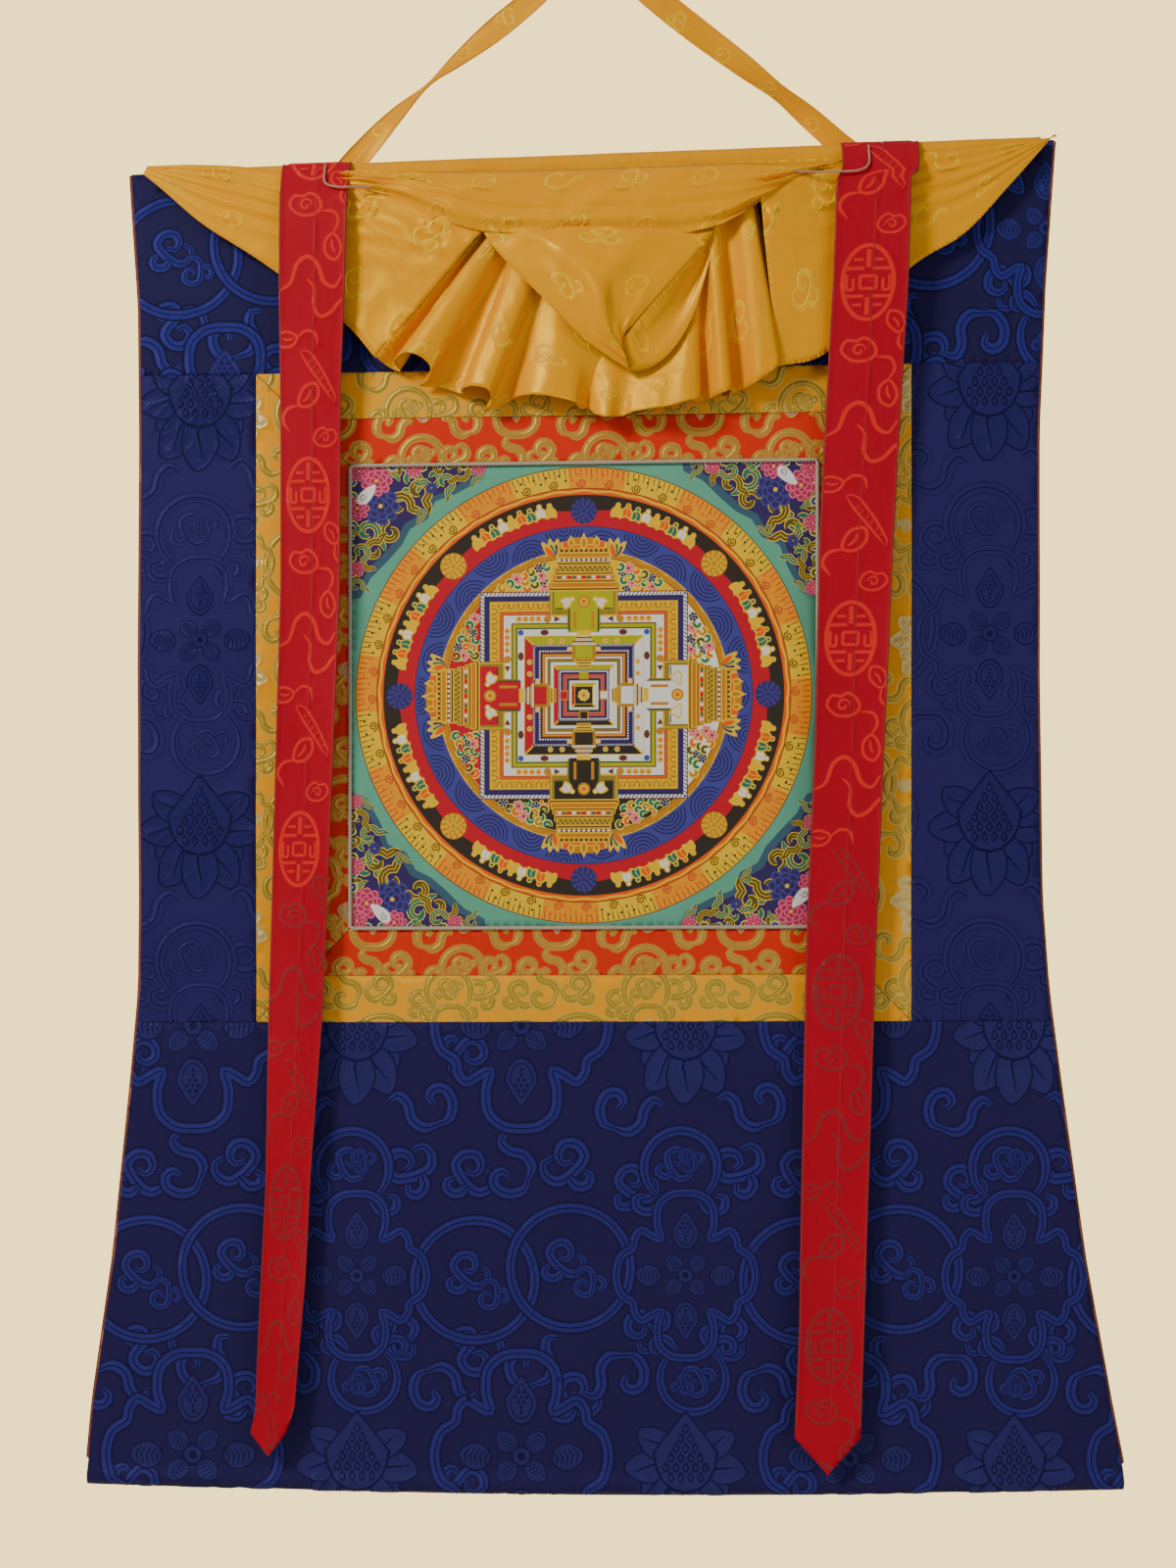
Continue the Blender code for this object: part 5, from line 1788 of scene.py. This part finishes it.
TIERS = (
    # height over the wall, half width, paint
    (106, 36, "gilt"), (107.4, 35, "brown"), (109.0, 34, "gilt"), (110.4, 33, "bronze"),
    (114.4, 32, "gilt"), (115.6, 31, "brown"), (117.0, 30, "gilt"), (118.4, 29, "orange"),
    (122.0, 30, "gilt"), (123.4, 29, "brown"), (124.8, 28, "gilt"), (126.0, 27, "old_gold"),
    (132.0, 28, "gilt"), (133.4, 27, "brown"), (135.0, 28, "gilt"), (136.2, 27, "brown"),
    (139.6, 28, "gilt"), (141.0, 26, "bronze"), (144.6, 27, "gilt"), (146.0, 25, "brown"),
    (149.0, 24, "gilt"), (150.4, 21, "orange"), (152.6, 16, "gilt"), (154.0, 10, "bronze"),
)


def gate(drawing, field):
    """One gate: its recess in the wall, and the tiered roof over it."""
    box(drawing, "old_gold", -GATE_HALF, 80, GATE_HALF, 106.5)
    box(drawing, "gilt", -33.6, 80, 33.6, 106.5)
    box(drawing, "old_gold", -32.6, 82, 32.6, 106.5)
    box(drawing, field, -30, 87, 30, 106.5)
    box(drawing, "moss", -29, 87.6, 29, 89)
    box(drawing, "old_gold", -17, 66, 17, 89)
    box(drawing, "moss", -15.4, 64, 15.4, 88)
    box(drawing, field, -14, 64, 14, 90)
    drawing.patch("bronze", ring_of(0, 95.5, 6.4, 14))
    drawing.patch("gilt", ring_of(0, 95.5, 4.4, 12))
    drawing.patch("orange", ring_of(0, 95.5, 2.2, 9))
    for side in (-1, 1):
        drawing.stamp(bud_figure, side * 17, 95, 0.95, side * 60, ink="white")
        box(drawing, "bronze", side * 9 - 1.5, 68, side * 9 + 1.5, 86)
    for height, half, ink in TIERS:
        box(drawing, ink, -half, height, half, height + 7)
    for number in range(11):
        x = -25 + number * 5
        line(drawing, "brown", [(x - 2, 126.6), (x + 2, 131.4)], 0.8)
        line(drawing, "gilt", [(x + 2, 126.6), (x - 2, 131.4)], 0.8)
        box(drawing, "white", x - 1.5, 136.8, x + 1.5, 139.0)
        box(drawing, ("leaf", "white", "red")[number % 3], x - 1.8, 118.8, x + 1.8, 121.6)
        drawing.patch("gilt", ring_of(x, 147.6, 1.2, 6))
        drawing.patch("orange", ring_of(x, 112.4, 1.3, 6))
    for x, tall in ((0, 9), (-13, 6), (13, 6)):
        drawing.patch("gilt", oval(x, 157, 4.0, tall, 0.9, 10))
        drawing.patch("bronze", oval(x, 156, 2.4, tall * 0.6, 0.9, 9))
    for side in (-1, 1):
        for lean in (-26, 0, 26):
            ink = ("leaf", "orange", "navy")[lean // 26]
            drawing.stamp(plume, side * 31, 141, 1.0, lean - side * 12, ink=ink)
    inside = ((60.0, 6, "gilt"), (57.6, 8, "brown"), (55.6, 9, "gilt"), (53.4, 11, "brown"),
              (51.6, 12, "gilt"), (49.0, 15, "brown"), (47.2, 17, "gilt"))
    box(drawing, "gilt", -7, 46, 7, 66)
    for height, half, ink in inside:
        box(drawing, ink, -half, height - 2.2, half, height + 2.0)
        beads = int(half / 2.4)
        for x in np.arange(-beads, beads + 1) * 2.3:
            if height > INNER_GATE_TOP or abs(x) > INNER_GATE_HALF - 0.8:
                box(drawing, "white", x - 0.7, height - 0.9, x + 0.7, height + 0.7)


def plume(drawing, ink):
    """A long leaf edged in gilt."""
    shape = spline([(0, 0), (3.4, 6), (2.2, 13), (0, 17), (-2.2, 13), (-3.4, 6)], 3.0, closed=True)
    drawing.patch("gilt", shape * 1.16)
    drawing.patch(ink, shape * 0.8)


def inner_gate(drawing, field):
    box(drawing, "bronze", -INNER_GATE_HALF, 36, INNER_GATE_HALF, INNER_GATE_TOP)
    box(drawing, "old_gold", -10.4, 37, 10.4, 50.5)
    box(drawing, field, -9, 38, 9, 50.5)
    for height, half in ((36, 10), (33, 8), (30, 7)):
        box(drawing, "gilt", -half, height - 1.6, half, height + 1.2)
        box(drawing, "brown", -half + 1, height - 0.6, half - 1, height + 0.4)
    box(drawing, "bronze", -5, 16, 5, 24)
    box(drawing, field, -3.6, 17, 3.6, 24)


def palace(drawing):
    box(drawing, "brown", -106, -106, 106, 106)
    rope(drawing, 105, hidden=GATE_HALF - THREAD_REACH)
    walls(drawing, PALACE_WALLS)
    fields(drawing, 60.2)
    for turn, _ in SIDES_OF_PALACE:
        drawing.stamp(wall_marks, 0, 0, 1.0, turn)
    rope(drawing, 51.6, 1.8, 2.6, INNER_GATE_HALF - THREAD_REACH)
    walls(drawing, INNER_WALLS)
    for number in range(5, 18):
        for turn in (0, 90, 180, 270):
            for side in (-1, 1):
                drawing.stamp(bead, 0, 0, 1.0, turn, across=side * number * 2.6, up=45)
    fields(drawing, 30.6)
    rope(drawing, 26, 1.6, 2.4)
    walls(drawing, HEART_WALLS)
    for turn, field in SIDES_OF_PALACE:
        drawing.stamp(gate, 0, 0, 1.0, turn, field=field)
        drawing.stamp(inner_gate, 0, 0, 1.0, turn, field=field)
    fields(drawing, 12.2)
    box(drawing, "gilt", -9.4, -9.4, 9.4, 9.4)
    box(drawing, "black", -8.8, -8.8, 8.8, 8.8)
    drawing.stamp(blossom, 0, 0, 0.95, 0, petal_ink="yellow", heart="orange", petals=8)


def bead(drawing, across, up):
    drawing.patch("white", ring_of(across, up, 0.9, 6))


CORNER_LEAVES = (
    # in from the side, down from the top, size, turn, paint
    (58, 20, 1.25, 20, "leaf"), (70, 34, 1.25, 80, "olive"), (82, 14, 1.0, -20, "leaf"),
    (96, 24, 0.95, 60, "leaf"), (96, 8, 0.8, 150, "olive"), (112, 10, 0.85, 0, "olive"),
    (126, 13, 0.75, 40, "leaf"), (54, 48, 1.3, 120, "olive"), (44, 66, 1.15, 250, "olive"),
    (20, 76, 1.2, 100, "leaf"), (30, 88, 1.05, 200, "olive"), (10, 94, 0.9, 60, "leaf"),
    (14, 112, 0.8, 150, "olive"), (9, 128, 0.7, 120, "leaf"), (70, 54, 0.6, 40, "leaf"),
    (52, 6, 0.9, 200, "olive"), (6, 62, 0.9, 250, "leaf"), (40, 10, 0.8, 100, "leaf"),
)
CORNER_FLOWERS = (
    # in, down, size, dark paint, pale paint
    (32, 44, 1.3, "navy", "water"), (28, 18, 1.05, "rose", "pink"), (10, 8, 0.7, "rose", "pink"),
    (8, 46, 0.85, "rose", "pink"), (66, 6, 0.6, "rose", "pink"), (132, 6, 0.5, "rose", "pink"),
    (8, 108, 0.5, "rose", "pink"), (84, 26, 0.4, "navy", "water"),
)


def corner(drawing):
    """One corner's spray of leaves and flowers: the origin is the corner."""
    rim = [(-4, 4), (144, 4), (136, -18), (110, -32), (88, -40), (80, -58), (62, -68), (54, -84),
           (40, -100), (22, -118), (12, -138), (-4, -140)]
    drawing.patch("lake", rim)
    drawing.patch("navy", [(x * 0.93 - 1, z * 0.93 + 1) for x, z in rim])
    for across, down, size, turn, ink in CORNER_LEAVES:
        drawing.stamp(leaf_curl, across, -down, size * 0.72, turn, ink=ink)
    for number in range(15):
        across, down = (16 + number * 14.5, 3) if number < 8 else (3, 18 + (number - 8) * 15.5)
        drawing.stamp(comma, across, -down, 1.0, number * 67, ink=("leaf", "olive", "water")[number % 3])
    for across, down, size, dark, pale in CORNER_FLOWERS:
        drawing.stamp(peony, across, -down, size, 0, dark=dark, pale=pale)
    conch = spline([(10, -32), (17, -26), (27, -22), (24, -34), (16, -42), (8, -40)], 3, closed=True)
    drawing.patch("white", conch)
    line(drawing, "navy", curl_of(14, -36, 4, 0.8, 0, 420, 12), 0.8)


def make_painting():
    drawing = Drawing("teal")
    drawing.stamp(picture, CENTRE_X, CENTRE_Z, PAINT_SCALE)
    half_x, half_z = (PAINTING_WIDTH - SEAM_GAP) / 2, (PAINTING_HEIGHT - SEAM_GAP) / 2
    outline = stepped([(CENTRE_X + x * half_x, CENTRE_Z + z * half_z) for x, z in
                       ((-1, -1), (1, -1), (1, 1), (-1, 1))], 8)
    piece = lay("painted_cloth", outline, drawing, front_of, 9)
    declare(piece, ["painting"], (PAINTING_WIDTH, PAINTING_HEIGHT))


def picture(drawing):
    reach = PAINTING_WIDTH / 2 / PAINT_SCALE
    for turn in (0, 90, 180, 270):
        x, z = at_ring(reach * math.sqrt(2), turn + 135)
        drawing.stamp(corner, x, z, 1.0, turn)
    flame_ring(drawing)
    charnel_ring(drawing)
    water_ring(drawing)
    courtyard(drawing)
    palace(drawing)


# ---------------------------------------------------------------- the borders and the lining


BORDERS = {
    # border: half width, half height, breadth, the repeat's scale and its slot
    "red": (GOLD_HALF_WIDTH - GOLD_BORDER, GOLD_HALF_HEIGHT - GOLD_BORDER, RED_BORDER, 0.56, "red_brocade"),
    "gold": (GOLD_HALF_WIDTH, GOLD_HALF_HEIGHT, GOLD_BORDER, 0.60, "gold_brocade"),
}
BORDER_REPEATS = {
    # where each strip was cut: across and up from the middle to one lotus
    "red": ((20, 61), (53, 37), (53, 20), (96, 45)),
    "gold": ((20, 90), (53, 37), (34, 20), (119, 45)),
}


def make_borders():
    for tone, (half_width, half_height, breadth, scale, slot) in BORDERS.items():
        for number, (side, turned, sign) in enumerate((
            ("top", False, 1), ("bottom", False, -1), ("left", True, -1), ("right", True, 1),
        )):
            length, reach = (half_height, half_width) if turned else (half_width, half_height)
            corners = []
            outer, inner = SEAM_GAP / 2, breadth - SEAM_GAP / 2
            for depth, end in ((outer, -1), (outer, 1), (inner, 1), (inner, -1)):
                along, out = end * (length - depth - SEAM_GAP), sign * (reach - depth)
                x, z = (out, along) if turned else (along, out)
                corners.append((CENTRE_X + x, CENTRE_Z + z))
            outline = stepped(corners, 8)
            low, high = outline.min(axis=0), outline.max(axis=0)
            drawing = Drawing(f"{tone}_ground", 1.5)
            across, up = BORDER_REPEATS[tone][number]
            brocade(drawing, tone, CENTRE_X + across, CENTRE_Z + up,
                    low[0], high[0], low[1], high[1], scale)
            piece = lay(f"{tone}_{side}", outline, drawing, front_of, 8)
            declare(piece, [f"{tone}_border_{side}"], (2 * length, breadth),
                    area=(2 * length - breadth) * breadth)


LINING_SHOWS = 2.6  # how far it stands out past the brocade, at each side
LINING_HEMS = (9, 13)
LINING_SEAMS = (-430, -1205)


def make_lining():
    left, right = float(side_edge(TOP_Z, False)), float(side_edge(TOP_Z, True))
    across = np.linspace(left - LINING_SHOWS, right + LINING_SHOWS, 190)
    upper = np.stack([across, cloth_top(across)], axis=-1)
    down = np.linspace(TOP_Z - 8, ROLL_Z + 14, 60)
    right_side = np.stack([side_edge(down, True) + LINING_SHOWS, down], axis=-1)
    left_side = np.stack([side_edge(down, False) - LINING_SHOWS, down], axis=-1)[::-1]
    low_x = np.linspace(right_side[-1][0] - 4, left_side[0][0] + 4, 60)
    lower = np.stack([low_x, roll_middle(low_x, ROLL_Z + low_x * 0) + ROLL_RADIUS + 3], axis=-1)
    outline = np.vstack([upper, right_side, lower, left_side])[::-1]
    drawing = Drawing("lining_ground")
    for inset in LINING_HEMS:
        for is_right, sign in ((False, 1), (True, -1)):
            line = np.stack([side_edge(down, is_right) + sign * inset, down], axis=-1)
            drawing.stroke("lining_seam", line, 0.8, tips=(1, 1), raised=0.0)
    for z in LINING_SEAMS:
        seam = [(x, z) for x in np.linspace(-400, 420, 60)]
        drawing.stroke("lining_seam", seam, 0.9, tips=(1, 1), raised=0.0)

    def back_of(x, z):
        sag = 0.5 * np.sin(x * 0.021 + z * 0.008) * np.sin(z * 0.013)
        return hung(x, z, 3.2) + np.stack([0 * x, sag, 0 * x], axis=-1)

    piece = lay("lining_cloth", outline, drawing, back_of, 12, -0.9)
    declare(piece, ["lining"], (860, 1060),
            area=800 * 1056)


def make_satins():
    """Every finish but the blue brocades and the painting's."""
    INKS["ribbon_ground"] = woven("ribbon_crimson", (0.47, 0.006, 0.024), 0.5, 1300, "X", 0.00006, 0.14,
                                  specular_ior_level=0.25, specular_tint=(1.0, 0.3, 0.3))
    INKS["ribbon_figure"] = woven("ribbon_coral", (0.78, 0.030, 0.022), 0.36, 900, "Y", 0.0001, 0.15,
                                  specular_ior_level=0.35, specular_tint=(1.0, 0.5, 0.4))
    # The ribbon's figures again, darker: painted shade for the lower part of each ribbon.
    INKS["ribbon_low_figure"] = woven("ribbon_painted_shade", (0.28, 0.004, 0.012), 0.5, 900, "Y", 0.0001, 0.15)
    INKS["ribbon_edge"] = woven("ribbon_edge", (0.34, 0.005, 0.010), 0.5, 900, "Y", 0.0001, 0.15)
    INKS["tie"] = twisted("tie_cord", (0.62, 0.36, 0.27), 1100)
    INKS["piping"] = twisted("piping_cord", (0.58, 0.50, 0.40), 700)
    INKS["red_ground"] = woven("red_ground", (0.74, 0.030, 0.010), 0.5, 1100, "X", 0.0001, 0.15,
                               specular_ior_level=0.25, specular_tint=(1.0, 0.4, 0.3))
    INKS["red_shade"] = woven("red_outline", (0.62, 0.30, 0.05), 0.4, 900, "Y", 0.0001, 0.15, metallic=0.3)
    INKS["red_figure"] = woven("red_bronze", (0.62, 0.330, 0.040), 0.4, 800, "DIAGONAL", 0.0002, 0.25,
                               metallic=0.45)
    INKS["red_line"] = woven("red_gilt", (0.70, 0.42, 0.09), 0.35, 800, "Y", 0.0001, 0.15, metallic=0.4)
    INKS["red_petal"] = woven("red_ivory", (0.55, 0.30, 0.20), 0.4, 600, "DIAGONAL", 0.0003, 0.3,
                              metallic=0.2)
    INKS["gold_ground"] = woven("gold_ground", (1.0, 0.40, 0.002), 0.42, 1200, "X", 0.0001, 0.12,
                                specular_tint=(1.0, 0.85, 0.3))
    INKS["gold_shade"] = woven("gold_outline", (0.85, 0.55, 0.10), 0.3, 900, "Y", 0.0001, 0.15, metallic=0.4)
    INKS["gold_figure"] = woven("gold_olive", (0.50, 0.33, 0.020), 0.4, 800, "DIAGONAL", 0.0002, 0.22,
                                metallic=0.35)
    INKS["gold_line"] = woven("gold_gilt", (0.75, 0.50, 0.08), 0.32, 800, "Y", 0.0001, 0.15, metallic=0.4)
    INKS["gold_petal"] = woven("gold_ivory", (0.72, 0.55, 0.22), 0.36, 600, "DIAGONAL", 0.0003, 0.25,
                               metallic=0.35)
    INKS["lining_ground"] = woven("lining_salmon", (0.80, 0.24, 0.17), 0.85, 1500, "X", 0.0001, 0.10)
    INKS["lining_seam"] = woven("lining_seam", (0.42, 0.14, 0.11), 0.9, 900, "Y", 0.0001, 0.12)
    ground = woven("silk_ground", (0.94, 0.385, 0.001), 0.30, 1600, "X", 0.00004, 0.15,
                   specular_tint=(1.0, 0.72, 0.04), specular_ior_level=0.9)
    figure = woven("silk_figure", (1.0, 0.56, 0.002), 0.24, 1100, "Y", 0.00008, 0.07,
                   specular_tint=(1.0, 0.72, 0.10), specular_ior_level=0.6)
    shadow = woven("silk_shade", (0.85, 0.34, 0.002), 0.36, 1600, "X", 0.00004, 0.08)
    INKS["silk_ground"] = ground
    INKS["silk_figure"] = figure
    INKS["silk_shade"] = shadow
    INKS["silk_line"] = figure


def make_all():
    make_silks()
    make_satins()
    set_stage()
    make_ties()
    make_cover()
    make_heading()
    make_ribbons()
    make_strap()
    make_piping()
    make_paints()
    make_painting()
    make_borders()
    make_lining()
    make_blue_panels()
    make_bottom_panel()


make_all()
